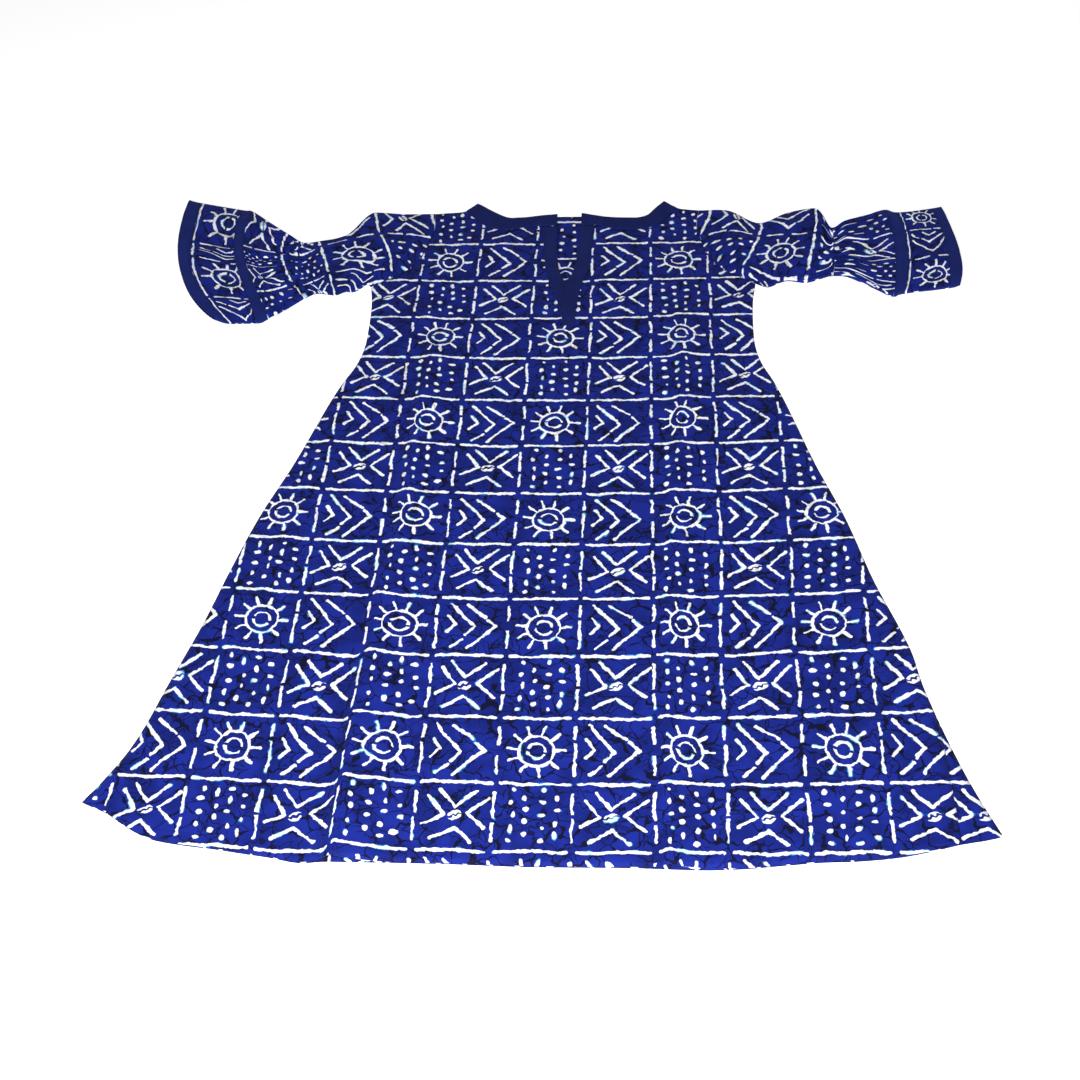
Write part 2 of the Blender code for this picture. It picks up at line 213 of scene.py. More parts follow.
@dataclass(frozen=True)
class DressForm:
    """Outline and surfaces of the body of the dress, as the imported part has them."""

    corner_height: float = 57.0
    underarm_height: float = 838.0
    shoulder_height: float = 995.0
    neck_shift: float = 5.5
    slit_foot: float = 838.0
    neck_inset: float = 1.5
    puff: float = 3.0
    # Upper face of the front: where no air is under it, and the least that it may be
    flat_height: float = 2.7
    least_height: float = 2.2
    slack: float = 0.75
    fine_slack: float = 0.35
    seam_left: Table = (
        (57, 440), (82, 425), (120, 406), (205, 383), (282, 363), (345, 350), *SEAM_TOP,
    )
    seam_right: Table = ((57, 440), (120, 414), (205, 388), (250, 380), (345, 351), *SEAM_TOP)
    armhole: Table = (
        (838, 251), (853, 231), (864, 215), (875, 203), (890, 195), (910, 187),
        (940, 181), (965, 178), (995, 181),
    )
    rolled_seam: Table = ((57, 401), (100, 400), (150, 398.5), (180, 396))
    hem_left: Table = (
        (0, -4), (100, -2), (190, -2), (214, -4), (244, 1), (273, 5), (300, 9), (334, 13),
        (365, 19), (390, 31), (412, 45), (440, 57),
    )
    hem_right: Table = (
        (0, -4), (100, -3), (160, -4), (200, -2), (235, 2), (272, 6), (306, 8), (345, 13),
        (375, 20), (400, 27), (425, 32), (440, 36),
    )
    neck_left: Table = (
        (16.5, 986), (32, 984), (67, 978.5), (82, 979), (100, 990), (128, 1012.5),
        (146, 999), (160, 996), (181, 995),
    )
    neck_right: Table = (
        (16.5, 986), (47, 979), (80, 975.5), (105, 981), (116, 996), (129, 1012),
        (150, 999), (160, 997), (181, 995),
    )
    slit: Table = ((838, 0), (855, 7.5), (900, 13.5), (960, 16.0), (982, 16.5))
    # Pressed folds down the front: height, place across, ridge height
    fold_left: Table = (
        (0, -186, 12), (93, -186, 9), (174, -183, 7), (246, -176, 7), (317, -177, 6),
        (400, -166, 6), (568, -164, 6), (704, -157, 4), (760, -156, 0), (1020, -156, 0),
    )
    fold_right: Table = (
        (0, 130, 9), (97, 130, 7), (248, 131, 6), (401, 137, 5), (552, 147, 6),
        (708, 153, 6), (774, 149, 4), (830, 152, 0), (1020, 156, 0),
    )
    # Ridges are steep towards the first side and gentle towards the second
    steep_spread: float = 9.0
    gentle_spread: float = 26.0
    # start x, start y, end x, end y, height, spread
    creases: Table = (
        (-264, 650, -264, 470, 2.6, 12), (-266, 500, -332, 230, 2.8, 14),
        (332, 345, 350, 240, 2.6, 12), (318, 470, 345, 330, 2.0, 14),
        (-238, 820, -150, 760, 2.2, 11), (-242, 790, -170, 715, 1.8, 10),
        (240, 812, 160, 770, 2.2, 11), (244, 780, 190, 700, 1.6, 10),
        (-120, 955, -60, 900, 1.5, 9), (128, 955, 75, 905, 1.5, 9),
        (-60, 850, -20, 770, 1.4, 9), (60, 850, 26, 780, 1.4, 9),
        (-180, 960, -150, 880, 1.6, 10), (182, 960, 160, 880, 1.6, 10),
        (-30, 740, 40, 690, 1.2, 14), (-330, 210, -360, 90, 2.0, 16),
        (250, 300, 262, 60, 2.0, 20), (-90, 320, -80, 20, 1.6, 24),
        (30, 420, 36, 10, 1.4, 22), (-230, 330, -262, 30, 1.8, 18),
        (210, 650, 230, 520, 1.5, 12), (-215, 700, -238, 610, 1.6, 10),
    )

    def side_reach(self, height: Array, x: Array | float) -> Array:
        """Reach of a panel's edge on the side of x: its seam, and above that its armhole."""
        left, right = (curve_through(seam, height) for seam in (self.seam_left, self.seam_right))
        hole = curve_through(self.armhole, height)
        return np.where(height <= self.underarm_height, np.where(x < 0, left, right), hole)

    def neckline(self, side: Side) -> Table:
        """Neckline and shoulder of one side, from the notch outwards."""
        return self.neck_left if side is Side.LEFT else self.neck_right

    def hem_height(self, x: Array) -> Array:
        """Height of the hem's edge at each reach."""
        left, right = (curve_through(hem, np.abs(x)) for hem in (self.hem_left, self.hem_right))
        return np.where(x < 0, left, right)

    def front_reach(self, height: Array, side: Side) -> Array:
        """Reach of the front's edge, which on the right rolls inwards near the hem."""
        reach = self.side_reach(height, side.value)
        if side is Side.LEFT:
            return reach
        rolled = np.minimum(curve_through(self.rolled_seam, height), reach)
        return np.where(height < self.rolled_seam[-1][0], rolled, reach)

    def neck_middle(self, height: Array) -> Array:
        """Reach of the middle line, which shifts a little towards the neck."""
        return self.neck_shift * smooth(height, 700.0, 838.0)

    def ridge(self, rows: Sequence[Row], x: Array, height: Array) -> Array:
        """A pressed fold: h·exp(−(d/spread)^1.4), steep on its left and gentle on its right."""
        distance = x - curve_through(rows, height)
        spread = np.where(distance < 0, self.steep_spread, self.gentle_spread)
        return curve_through(rows, height, 2) * np.exp(-((np.abs(distance) / spread) ** 1.4))

    def across(self, x: Array, y: Array) -> Array:
        """Share of the way from the middle line to the side seam or armhole."""
        limit = self.side_reach(np.clip(y, self.corner_height, self.shoulder_height), x)
        return np.clip(np.abs(x) / limit, 0, 1)

    def air(self, x: Array, y: Array) -> Array:
        """Air under the front panel, which thins towards the sides, the hem and the neck."""
        share = 1 - self.across(x, y) ** 4
        return self.puff * share * smooth(y, -20, 60) * (1 - 0.6 * smooth(y, 860, 1000))

    def front_height(self, x: Array, y: Array) -> Array:
        """Upper face of the front: the back's wall, the air under the front, folds and creases."""
        across, air = self.across(x, y), self.air(x, y)
        folds = self.ridge(self.fold_left, x, y) + self.ridge(self.fold_right, x, y)
        ease = 0.25 + 0.75 * smooth(1 - across, 0.0, 0.12)
        drape = crease_field(x, y, self.creases) + self.slack * slack_field(x, y, 11, 95.0)
        drape = drape + self.fine_slack * slack_field(x, y, 12, 34.0)
        return np.maximum(self.flat_height + air + folds + ease * drape, self.least_height)

    def half_grid(
        self, side: Side, reach: Array, slit: Array, rows: Array,
        columns: int, top_drop: float
    ) -> tuple[Array, Array]:
        """Plan points of half a panel.

        Args:
            side: which half.
            reach: reach of its edge at each row.
            slit: half the width of the notch at each row.
            rows: nominal heights of the rows.
            columns: how many columns there are from the side to the middle.
            top_drop: how far the top edge lies under the neckline.

        Returns:
            Reach and height of the points, the side's column first.
        """
        inner = side.value * self.neck_middle(rows) + slit
        share = np.linspace(0, 1, columns)
        x = side.value * (reach[:, None] + (inner - reach)[:, None] * share)
        neck_reach = np.abs(x - self.neck_middle(np.array(self.shoulder_height)))[-1]
        top = curve_through(self.neckline(side), neck_reach) - top_drop - self.shoulder_height
        y = rows[:, None] + top * smooth(rows, 860, self.shoulder_height)[:, None]
        hem = self.hem_height(x[0]) - self.corner_height
        return x, y + hem * (1 - smooth(rows, self.corner_height, 250))[:, None]


# ---------------------------------------------------------------- sheets of cloth


@dataclass
class Sheet:
    """A sheet of cloth before it has a wall: its upper face and two sets of coordinates."""

    points: Array
    faces: Array
    print_uv: Array
    stitch_uv: Array

    @classmethod
    def from_grid(
        cls, points: Array, print_uv: Array, stitch_uv: Array, turned: bool
    ) -> "Sheet":
        """A sheet from a grid of points.

        Args:
            points: rows × columns × 3, in garment millimetres.
            print_uv: rows × columns × 2, in tiles of the print.
            stitch_uv: rows × columns × 2, along and away from a stitched edge in millimetres.
            turned: True where rows × columns turn the other way round.

        Returns:
            The sheet, with one four-sided face for each cell of the grid.
        """
        rows, columns = points.shape[:2]
        corner = np.arange(rows - 1)[:, None] * columns + np.arange(columns - 1)
        faces = np.stack([corner, corner + 1, corner + columns + 1, corner + columns], -1)
        faces = faces.reshape(-1, 4)
        faces = faces[:, ::-1] if turned else faces
        flat = points.reshape(-1, 3), faces, print_uv.reshape(-1, 2), stitch_uv.reshape(-1, 2)
        return cls(*flat)

    def joined(self, other: "Sheet") -> "Sheet":
        """This sheet and another, sewn where their points meet."""
        count = len(self.points)
        points = np.concatenate([self.points, other.points])
        faces = np.concatenate([self.faces, other.faces + count])
        keys = np.round(points, 2)
        _, first, index = np.unique(keys, axis=0, return_index=True, return_inverse=True)
        return Sheet(
            points[first],
            index.reshape(-1)[faces],
            np.concatenate([self.print_uv, other.print_uv])[first],
            np.concatenate([self.stitch_uv, other.stitch_uv])[first],
        )

    def normals(self) -> Array:
        """Unit normal at each point: the mean of its faces', weighted by their size."""
        corners = self.points[self.faces]
        face = np.cross(corners[:, 2] - corners[:, 0], corners[:, 3] - corners[:, 1])
        total = np.zeros_like(self.points)
        for corner in range(4):
            np.add.at(total, self.faces[:, corner], face)
        return total / np.maximum(np.linalg.norm(total, axis=1, keepdims=True), 1e-9)

    def build(
        self, name: str, wall: float, ground: GarmentFrame, material: Material
    ) -> bpy.types.Object:
        """Gives the sheet its wall and makes the object.

        Args:
            name: name of the piece.
            wall: thickness of the cloth, under the drawn face.
            ground: where the garment lies in the part.
            material: its finish.

        Returns:
            The object: a closed shell at the origin, with the maps "print" and "stitch".
        """
        count = len(self.points)
        under = self.points - self.normals() * wall
        under[:, 2] = np.maximum(under[:, 2], 0.05)
        starts, ends = self.faces.reshape(-1), np.roll(self.faces, -1, axis=1).reshape(-1)
        paired = np.isin(starts * count + ends, ends * count + starts)
        start, end = starts[~paired], ends[~paired]
        rim = np.stack([end, start, start + count, end + count], -1)
        faces = np.concatenate([self.faces, self.faces[:, ::-1] + count, rim])
        placed = ground.place(np.concatenate([self.points, under]))
        mesh = bpy.data.meshes.new(name)
        mesh.from_pydata(placed.tolist(), [], faces.tolist())
        corner = np.empty(len(mesh.loops), np.int32)
        mesh.loops.foreach_get("vertex_index", corner)
        for label, uv in (("print", self.print_uv), ("stitch", self.stitch_uv)):
            layer = mesh.uv_layers.new(name=label)
            layer.data.foreach_set("uv", np.tile(uv, (2, 1))[corner].astype(np.float32).ravel())
        mesh.shade_smooth()
        mesh.materials.append(material)
        return put(name, mesh)


@dataclass(frozen=True)
class Piece:
    """One sewn piece: its imported node, slot, flat cut, how it is held and what it rests on."""

    node: str
    slot: str
    width: float
    length: float
    area: float
    held: str
    rests_on: tuple[str, ...]

    def declare(self, made: bpy.types.Object) -> None:
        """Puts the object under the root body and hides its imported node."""
        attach(made, "root")
        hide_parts(self.node)


# ---------------------------------------------------------------- shader building


def operator(operation: str, reflected: bool = False) -> Callable[..., "Signal"]:
    """Makes a method of Signal that adds one maths node.

    Args:
        operation: the node's operation.
        reflected: True where the signal is the right-hand value.

    Returns:
        The method, which takes the other values.
    """

    def method(self: "Signal", *others: "Value") -> "Signal":
        """Adds the node and gives its output."""
        return self.net.calc(operation, *((*others, self) if reflected else (self, *others)))

    return method


class Signal:
    """One output in a shader, with arithmetic that adds the nodes it needs."""

    def __init__(self, net: "ShaderNet", end: Socket) -> None:
        """Wraps the output end of a node in the net."""
        self.net, self.end = net, end

    @property
    def is_vector(self) -> bool:
        """True for a vector or colour."""
        return self.end.type in {"VECTOR", "RGBA"}

    __add__, __radd__ = operator("ADD"), operator("ADD", True)
    __sub__, __rsub__ = operator("SUBTRACT"), operator("SUBTRACT", True)
    __mul__, __rmul__ = operator("MULTIPLY"), operator("MULTIPLY", True)
    __truediv__, __rtruediv__ = operator("DIVIDE"), operator("DIVIDE", True)
    __abs__, rounded, sine = operator("ABSOLUTE"), operator("ROUND"), operator("SINE")
    least, most = operator("MINIMUM"), operator("MAXIMUM")
    dot, length = operator("DOT_PRODUCT"), operator("LENGTH")

    def parity(self) -> "Signal":
        """0 for an even whole number and 1 for an odd one."""
        return self.net.calc("PINGPONG", self, 1.0)

    def step(self, low: float, high: float) -> "Signal":
        """A smooth step, 0 at low and 1 at high. Low may be the larger."""
        swap = low > high
        ends = {1: min(low, high), 2: max(low, high), 3: float(swap), 4: float(not swap)}
        settings = {"interpolation_type": "SMOOTHSTEP"}
        return self.net.get("ShaderNodeMapRange", settings, {0: self, **ends})

    def mixed(self, start: "Value", end: "Value") -> "Signal":
        """Start where this signal is 0 and end where it is 1."""
        return self.net.mix(self, start, end)


Value = Signal | float | tuple[float, ...]


class ShaderNet:
    """A material's nodes, added one formula at a time."""

    def __init__(self, name: str) -> None:
        """Makes the material, with its shader and output only."""
        self.material = bpy.data.materials.new(name)
        self.material.use_nodes = True
        self.tree = self.material.node_tree
        self.shader = self.tree.nodes["Principled BSDF"]

    def get(
        self, kind: str, settings: dict[str, object], values: dict[int | str, Value],
        output: int | str = 0
    ) -> Signal:
        """Adds one node.

        Args:
            kind: its type.
            settings: its properties, set before its inputs.
            values: a number, tuple or signal for each input.
            output: the output that is wanted.

        Returns:
            That output.
        """
        node = self.tree.nodes.new(kind)
        for key, value in settings.items():
            setattr(node, key, value)
        for key, value in values.items():
            self.feed(node.inputs[key], value)
        return Signal(self, node.outputs[output])

    def feed(self, socket: Socket, value: Value) -> None:
        """Links a signal to the socket, or sets its value."""
        if isinstance(value, Signal):
            self.tree.links.new(value.end, socket)
        else:
            socket.default_value = value

    def calc(self, operation: str, *values: Value) -> Signal:
        """A Math node, or a Vector Math node where a value is a vector."""
        vectors = [v for v in values if isinstance(v, tuple) or getattr(v, "is_vector", False)]
        kind = "ShaderNodeVectorMath" if vectors else "ShaderNodeMath"
        if operation == "MULTIPLY" and len(vectors) == 1:
            number = values[1] if vectors[0] is values[0] else values[0]
            return self.get(kind, {"operation": "SCALE"}, {0: vectors[0], "Scale": number})
        output = "Value" if operation in {"DOT_PRODUCT", "LENGTH"} else 0
        return self.get(kind, {"operation": operation}, dict(enumerate(values)), output)

    def mix(self, share: Value, start: Value, end: Value) -> Signal:
        """Mixes two colours, or two numbers, by a share."""
        if isinstance(start, tuple) or isinstance(end, tuple) or getattr(start, "is_vector", False):
            return self.get(
                "ShaderNodeMix", {"data_type": "RGBA"}, {0: share, 6: start, 7: end}, 2
            )
        return self.get("ShaderNodeMix", {"data_type": "FLOAT"}, {0: share, 2: start, 3: end})

    def combine(self, x: Value, y: Value, z: Value = 0.0) -> Signal:
        """A vector from three numbers."""
        return self.get("ShaderNodeCombineXYZ", {}, {0: x, 1: y, 2: z})

    def part(self, vector: Signal, axis: int) -> Signal:
        """One number of a vector."""
        return self.get("ShaderNodeSeparateXYZ", {}, {0: vector}, axis)

    def uv(self, name: str) -> Signal:
        """The piece's own coordinates of that name."""
        return self.get("ShaderNodeUVMap", {"uv_map": name}, {})

    def noise(
        self, at: Signal, scale: float, detail: float = 2.0, colour: bool = False
    ) -> Signal:
        """Soft noise, as a number or as three."""
        values = {"Vector": at, "Scale": scale, "Detail": detail}
        settings = {"noise_dimensions": "2D"}
        return self.get("ShaderNodeTexNoise", settings, values, 1 if colour else 0)

    def cracks(self, at: Signal, scale: float) -> Signal:
        """Distance from the nearest border between scattered cells."""
        settings = {"feature": "DISTANCE_TO_EDGE", "voronoi_dimensions": "2D"}
        return self.get("ShaderNodeTexVoronoi", settings, {"Vector": at, "Scale": scale})

    def chance(self, cell: Signal) -> Signal:
        """Three chance numbers for each whole cell."""
        return self.get("ShaderNodeTexWhiteNoise", {}, {"Vector": cell}, 1)

    def finish(
        self, colour: Value, roughness: Value, height: Signal, relief: float, sheen: float
    ) -> Material:
        """Feeds the shader.

        Args:
            colour: base colour.
            roughness: roughness.
            height: relief of the cloth, 0 to 1.
            relief: its depth in metres.
            sheen: weight of the cloth's sheen.

        Returns:
            The material.
        """
        inputs = self.shader.inputs
        self.feed(inputs["Base Color"], colour)
        self.feed(inputs["Roughness"], roughness)
        inputs["Sheen Weight"].default_value = sheen
        inputs["Sheen Roughness"].default_value = 0.6
        inputs["Specular IOR Level"].default_value = 0.08
        values = {"Strength": 1.0, "Distance": relief, "Height": height}
        self.feed(inputs["Normal"], self.get("ShaderNodeBump", {}, values))
        return self.material


# ---------------------------------------------------------------- the print

Stroke = tuple[tuple[float, float], ...]


@dataclass(frozen=True)
class PrintDesign:
    """The four tiles of the wax print, drawn in tile units from each tile's middle."""

    half_stroke: float = 0.0218
    chevrons: tuple[Stroke, ...] = (
        ((-0.34, 0.16), (-0.24, 0.01), (-0.36, -0.12)),
        ((-0.32, 0.38), (0.03, -0.03), (-0.09, -0.17)),
        ((-0.13, -0.24), (-0.29, -0.38)),
        ((-0.09, 0.37), (0.18, 0.16)),
        ((0.22, 0.11), (0.33, 0.0), (-0.04, -0.39)),
    )
    cross: tuple[Stroke, ...] = (
        ((-0.20, 0.38), (0.0, 0.13), (0.26, 0.37)),
        ((-0.28, -0.34), (0.0, -0.18), (0.22, -0.37)),
        ((-0.33, 0.28), (-0.14, 0.01), (-0.39, -0.13)),
        ((0.43, 0.28), (0.17, 0.03), (0.39, -0.18)),
    )
    sun_ring: float = 0.225
    sun_eye: float = 0.112
    ray_middle: float = 0.31
    ray_half: float = 0.065
    # Ten rays: rays in a radian, and radians from ray to ray
    rays_per_radian: float = 1.5915
    ray_pitch: float = 0.6283
    dot_start: float = 0.27
    dot_column: float = 0.187
    dot_row: float = 0.19
    dot_sway: float = 0.045
    shell_long: float = 0.098
    shell_short: float = 0.066
    motif_shift: float = 0.035
    line_half: float = 0.44
    upright_half: float = 0.355
    # Places of the gaps in the upright lines: even and odd rows of even, then odd lines
    gaps: Table = ((-0.005, 0.145), (-0.085, 0.015))

    def strokes(self, net: ShaderNet, at: Signal, strokes: Sequence[Stroke]) -> Signal:
        """Distance from the nearest of some straight strokes.

        Args:
            net: the shader.
            at: place in the tile.
            strokes: each a line of two or more points.

        Returns:
            The least |q − h·clamp(q·h/|h|²)| over the spans, where q is the place from the
            span's start and h the span.
        """
        nearest: Signal | None = None
        for stroke in strokes:
            for start, end in zip(stroke[:-1], stroke[1:]):
                span = (end[0] - start[0], end[1] - start[1])
                square = span[0] ** 2 + span[1] ** 2
                ahead = at - (start[0], start[1], 0.0)
                share = ahead.dot((span[0] / square, span[1] / square, 0.0))
                share = share.most(0.0).least(1.0)
                values = {0: share, 1: (-span[0], -span[1], 0.0), 2: ahead}
                rest = net.get("ShaderNodeVectorMath", {"operation": "MULTIPLY_ADD"}, values)
                away = rest.length()
                nearest = away if nearest is None else nearest.least(away)
        return nearest

    def sun(self, net: ShaderNet, at: Signal) -> Signal:
        """Distance from a sun: a ring, a broken inner ring, and ten rays spaced unevenly."""
        x, y = net.part(at, 0), net.part(at, 1)
        radius = at.length()
        angle = net.calc("ARCTAN2", y, x)
        ring = abs(radius - self.sun_ring) + 0.005
        split = abs(at.dot((0.25, 0.97, 0.0)))
        eye = (abs(radius - self.sun_eye) + 0.005).most(0.046 - split)
        turned = angle * self.rays_per_radian + 0.11 - (angle + 0.52).sine() * 0.22
        off = (turned - turned.rounded()) * self.ray_pitch * radius
        reach = (abs(radius - self.ray_middle) - self.ray_half).most(0.0)
        ray = net.combine(reach, off).length() + 0.002
        return ring.least(eye).least(ray)

    def dots(self, net: ShaderNet, at: Signal, cell: Signal) -> Signal:
        """Distance from four columns of uneven dots, every second column half a step lower."""
        x, y = net.part(at, 0), net.part(at, 1)
        column = ((x + self.dot_start) / self.dot_column).rounded().most(0.0).least(3.0)
        odd = column.parity()
        row = (y / self.dot_row + odd * 0.5).rounded().most(odd - 2.0).least(2.0)
        off_x = x + self.dot_start - column * self.dot_column
        off_y = y - (row - odd * 0.5) * self.dot_row
        luck = net.chance(net.combine(column + cell * 4.0, row, 7.0))
        sway_x, sway_y = ((net.part(luck, axis) - 0.5) * self.dot_sway for axis in (0, 1))
        wide = net.part(luck, 2) * 0.6 + 0.62
        off = net.combine((off_x + sway_x) * wide, (off_y + sway_y) * (1.75 - wide))
        return off.length() - net.part(luck, 0) * 0.009 - 0.003

    def cowrie(self, net: ShaderNet, at: Signal) -> Signal:
        """Distance from a small tilted shell with a toothed slit."""
        long, short = at.dot((0.94, 0.34, 0.0)), at.dot((-0.34, 0.94, 0.0))
        shell = net.combine(long / self.shell_long, short / self.shell_short).length()
        shell = shell * self.shell_short - 0.042
        slit = abs(short + (long * 75.0).sine() * 0.011)
        return shell.most(0.038 - slit)

    def distance(self, net: ShaderNet, uv: Signal) -> Signal:
        """Distance from the nearest stroke of the print, in tiles.

        Args:
            net: the shader.
            uv: place in the print; suns and dots stand on even columns, and suns and chevrons
                on odd rows.

        Returns:
            The distance, with the row lines and the broken upright lines between tiles.
        """
        u, v = net.part(uv, 0), net.part(uv, 1)
        column, row = u.rounded(), (v - 0.5).rounded()
        odd_column, odd_row = column.parity(), row.parity()
        x, y = u - column, v - 0.5 - row
        shift = (net.chance(net.combine(column, row)) - (0.5, 0.5, 0.5)) * self.motif_shift
        at = net.combine(x + net.part(shift, 0), y + net.part(shift, 1))
        shells = self.strokes(net, at, self.cross).least(self.cowrie(net, at))
        lower = odd_column.mixed(self.dots(net, at, column), shells)
        upper = odd_column.mixed(self.sun(net, at), self.strokes(net, at, self.chevrons))
        motif = odd_row.mixed(lower, upper)
        line = net.combine(abs(v - v.rounded()), (abs(x) - self.line_half).most(0.0)).length()
        beside = u - 0.5
        border = beside.rounded()
        odd_border = border.parity()
        gap_low, gap_high = (odd_border.mixed(*pair) for pair in zip(*self.gaps))
        from_gap = abs(y - odd_row.mixed(gap_low, gap_high))
        gap_half = odd_border * odd_row * 0.05 + 0.052
        past_end = (abs(y) - self.upright_half).most(0.0)
        upright = net.combine(abs(beside - border), past_end).length() + 0.003
        return motif.least(line).least(upright.most(gap_half - from_gap))


@dataclass(frozen=True)
class PrintedCotton:
    """Blue cotton with a white wax print, dark crackle and a little bleeding cyan."""

    blue_deep: Four = (0.0042, 0.0108, 0.138, 1.0)
    blue_bright: Four = (0.0070, 0.0170, 0.218, 1.0)
    vein: Four = (0.0022, 0.0030, 0.014, 1.0)
    white: Four = (0.86, 0.88, 0.93, 1.0)
    tint: Four = (0.52, 0.66, 0.90, 1.0)
    cyan: Four = (0.055, 0.36, 0.62, 1.0)
    roughness: float = 0.72
    relief: float = 0.00035
    sheen: float = 0.015
    design: PrintDesign = field(default_factory=PrintDesign)

    def ink(self, net: ShaderNet, uv: Signal) -> tuple[Signal, Signal]:
        """White of the strokes, with uneven widths and ragged edges, and the distance used."""
        sway = (net.noise(uv, 2.6, 1.0, colour=True) - (0.5, 0.5, 0.5)) * 0.060
        shake = (net.noise(uv, 15.0, 2.0, colour=True) - (0.5, 0.5, 0.5)) * 0.034
        bent = uv + sway * (1.0, 1.0, 0.0) + shake * (1.0, 1.0, 0.0)
        away = self.design.distance(net, bent)
        thin = net.noise(uv + (3.1, 7.7, 0.0), 6.5, 2.0).step(0.28, 0.66)
        width = thin * 0.014 + (self.design.half_stroke - 0.009)
        past = away - width
        return past.step(0.0045, -0.0045), past

    def veins(self, net: ShaderNet, uv: Signal) -> Signal:
        """Crackle: thin dark lines along scattered cells, in patches and uneven in width."""
        bent = uv + (net.noise(uv, 3.5, 2.0, colour=True) - (0.5, 0.5, 0.5)) * 0.30
        patch = net.noise(uv + (9.0, 2.0, 4.0), 1.6, 1.0).step(0.26, 0.38)
        wide = net.noise(uv + (1.0, 5.0, 2.0), 5.5, 1.0).step(0.42, 0.80) * 0.085 + 0.034
        large = (net.cracks(bent * (0.86, 1.15, 1.0), 3.6) / wide).step(1.0, 0.7) * patch
        fine = net.cracks(bent + (4.0, 4.0, 0.0), 7.0).step(0.075, 0.042)
        some = net.noise(uv + (5.0, 1.0, 8.0), 2.6, 1.0).step(0.50, 0.57)
        return (large + fine * some * 0.85).least(1.0)

    def material(self) -> Material:
        """The finish of the printed pieces."""
        net = ShaderNet("printed_cotton")
        uv = net.uv("print")
        ink, past = self.ink(net, uv)
        veins = self.veins(net, uv)
        mottle = net.noise(uv + (2.0, 2.0, 2.0), 2.4, 4.0).step(0.34, 0.66)
        ground = mottle.mixed(self.blue_deep, self.blue_bright)
        ground = (veins * 0.96).mixed(ground, self.vein)
        bleed = net.noise(uv + (6.0, 3.0, 1.0), 4.2, 3.0).step(0.60, 0.68)
        halo = past.step(0.018, 0.004) * bleed * 0.85
        ground = halo.mixed(ground, self.cyan)
        worn = net.noise(uv + (8.0, 8.0, 3.0), 9.0, 3.0).step(0.56, 0.78) * 0.35
        edge = past.step(-0.016, -0.004) * bleed * 0.7
        pale = (worn + edge).least(1.0).mixed(self.white, self.tint)
        colour = (ink * (1.0 - veins * 0.30)).mixed(ground, pale)
        stitch, dent = stitching(net, 12.5, 3.2)
        colour = (stitch * 0.35).mixed(colour, self.blue_deep)
        weave = net.noise(uv, 95.0, 2.0) * 0.5 + net.noise(uv * (1.0, 3.5, 1.0), 26.0, 2.0) * 0.5
        height = weave * 0.45 + dent
        roughness = ink * 0.08 + (self.roughness - 0.04)
        return net.finish(colour, roughness, height, self.relief, self.sheen)


def stitching(net: ShaderNet, inset: float, pitch: float) -> tuple[Signal, Signal]:
    """A row of stitches at a set distance from a piece's edge.

    Args:
        net: the shader.
        inset: distance of the row from the edge, in millimetres.
        pitch: length of one stitch with its gap.

    Returns:
        The thread's mask, and the relief of the seam pulled in along it.
    """
    along, away = net.part(net.uv("stitch"), 0), net.part(net.uv("stitch"), 1)
    off = abs(away - inset)
    dash = net.calc("PINGPONG", along, pitch / 2).step(pitch * 0.12, pitch * 0.2)
    thread = off.step(0.55, 0.25) * dash
    seam = off.step(2.2, 0.2)
    return thread, thread * 0.25 - seam * 0.9


BRIGHT_NAVY = (0.0066, 0.0150, 0.126, 1.0)
BRIGHTER_NAVY = (0.0086, 0.0196, 0.160, 1.0)


@dataclass(frozen=True)
class PlainCotton:
    """Plain navy cotton of the bands and strips, with a row of topstitching."""

    name: str = "plain_navy_cotton"
    navy: Four = (0.0050, 0.0110, 0.088, 1.0)
    navy_bright: Four = (0.0068, 0.0150, 0.115, 1.0)
    thread: Four = (0.0045, 0.0090, 0.060, 1.0)
    roughness: float = 0.7
    relief: float = 0.0003
    sheen: float = 0.015

    def material(self) -> Material:
        """The finish of the bands."""
        net = ShaderNet(self.name)
        uv = net.uv("print")
        mottle = net.noise(uv, 3.0, 4.0).step(0.3, 0.7)
        colour = mottle.mixed(self.navy, self.navy_bright)
        stitch, dent = stitching(net, 2.2, 2.8)
        colour = (stitch * 0.8).mixed(colour, self.thread)
        slub = net.noise(uv * (4.0, 1.0, 1.0), 30.0, 2.0) * 0.5 + net.noise(uv, 90.0, 2.0) * 0.5
        roughness = mottle * 0.08 + (self.roughness - 0.04)
        return net.finish(colour, roughness, slub * 0.5 + dent, self.relief, self.sheen)


# ---------------------------------------------------------------- the body of the dress


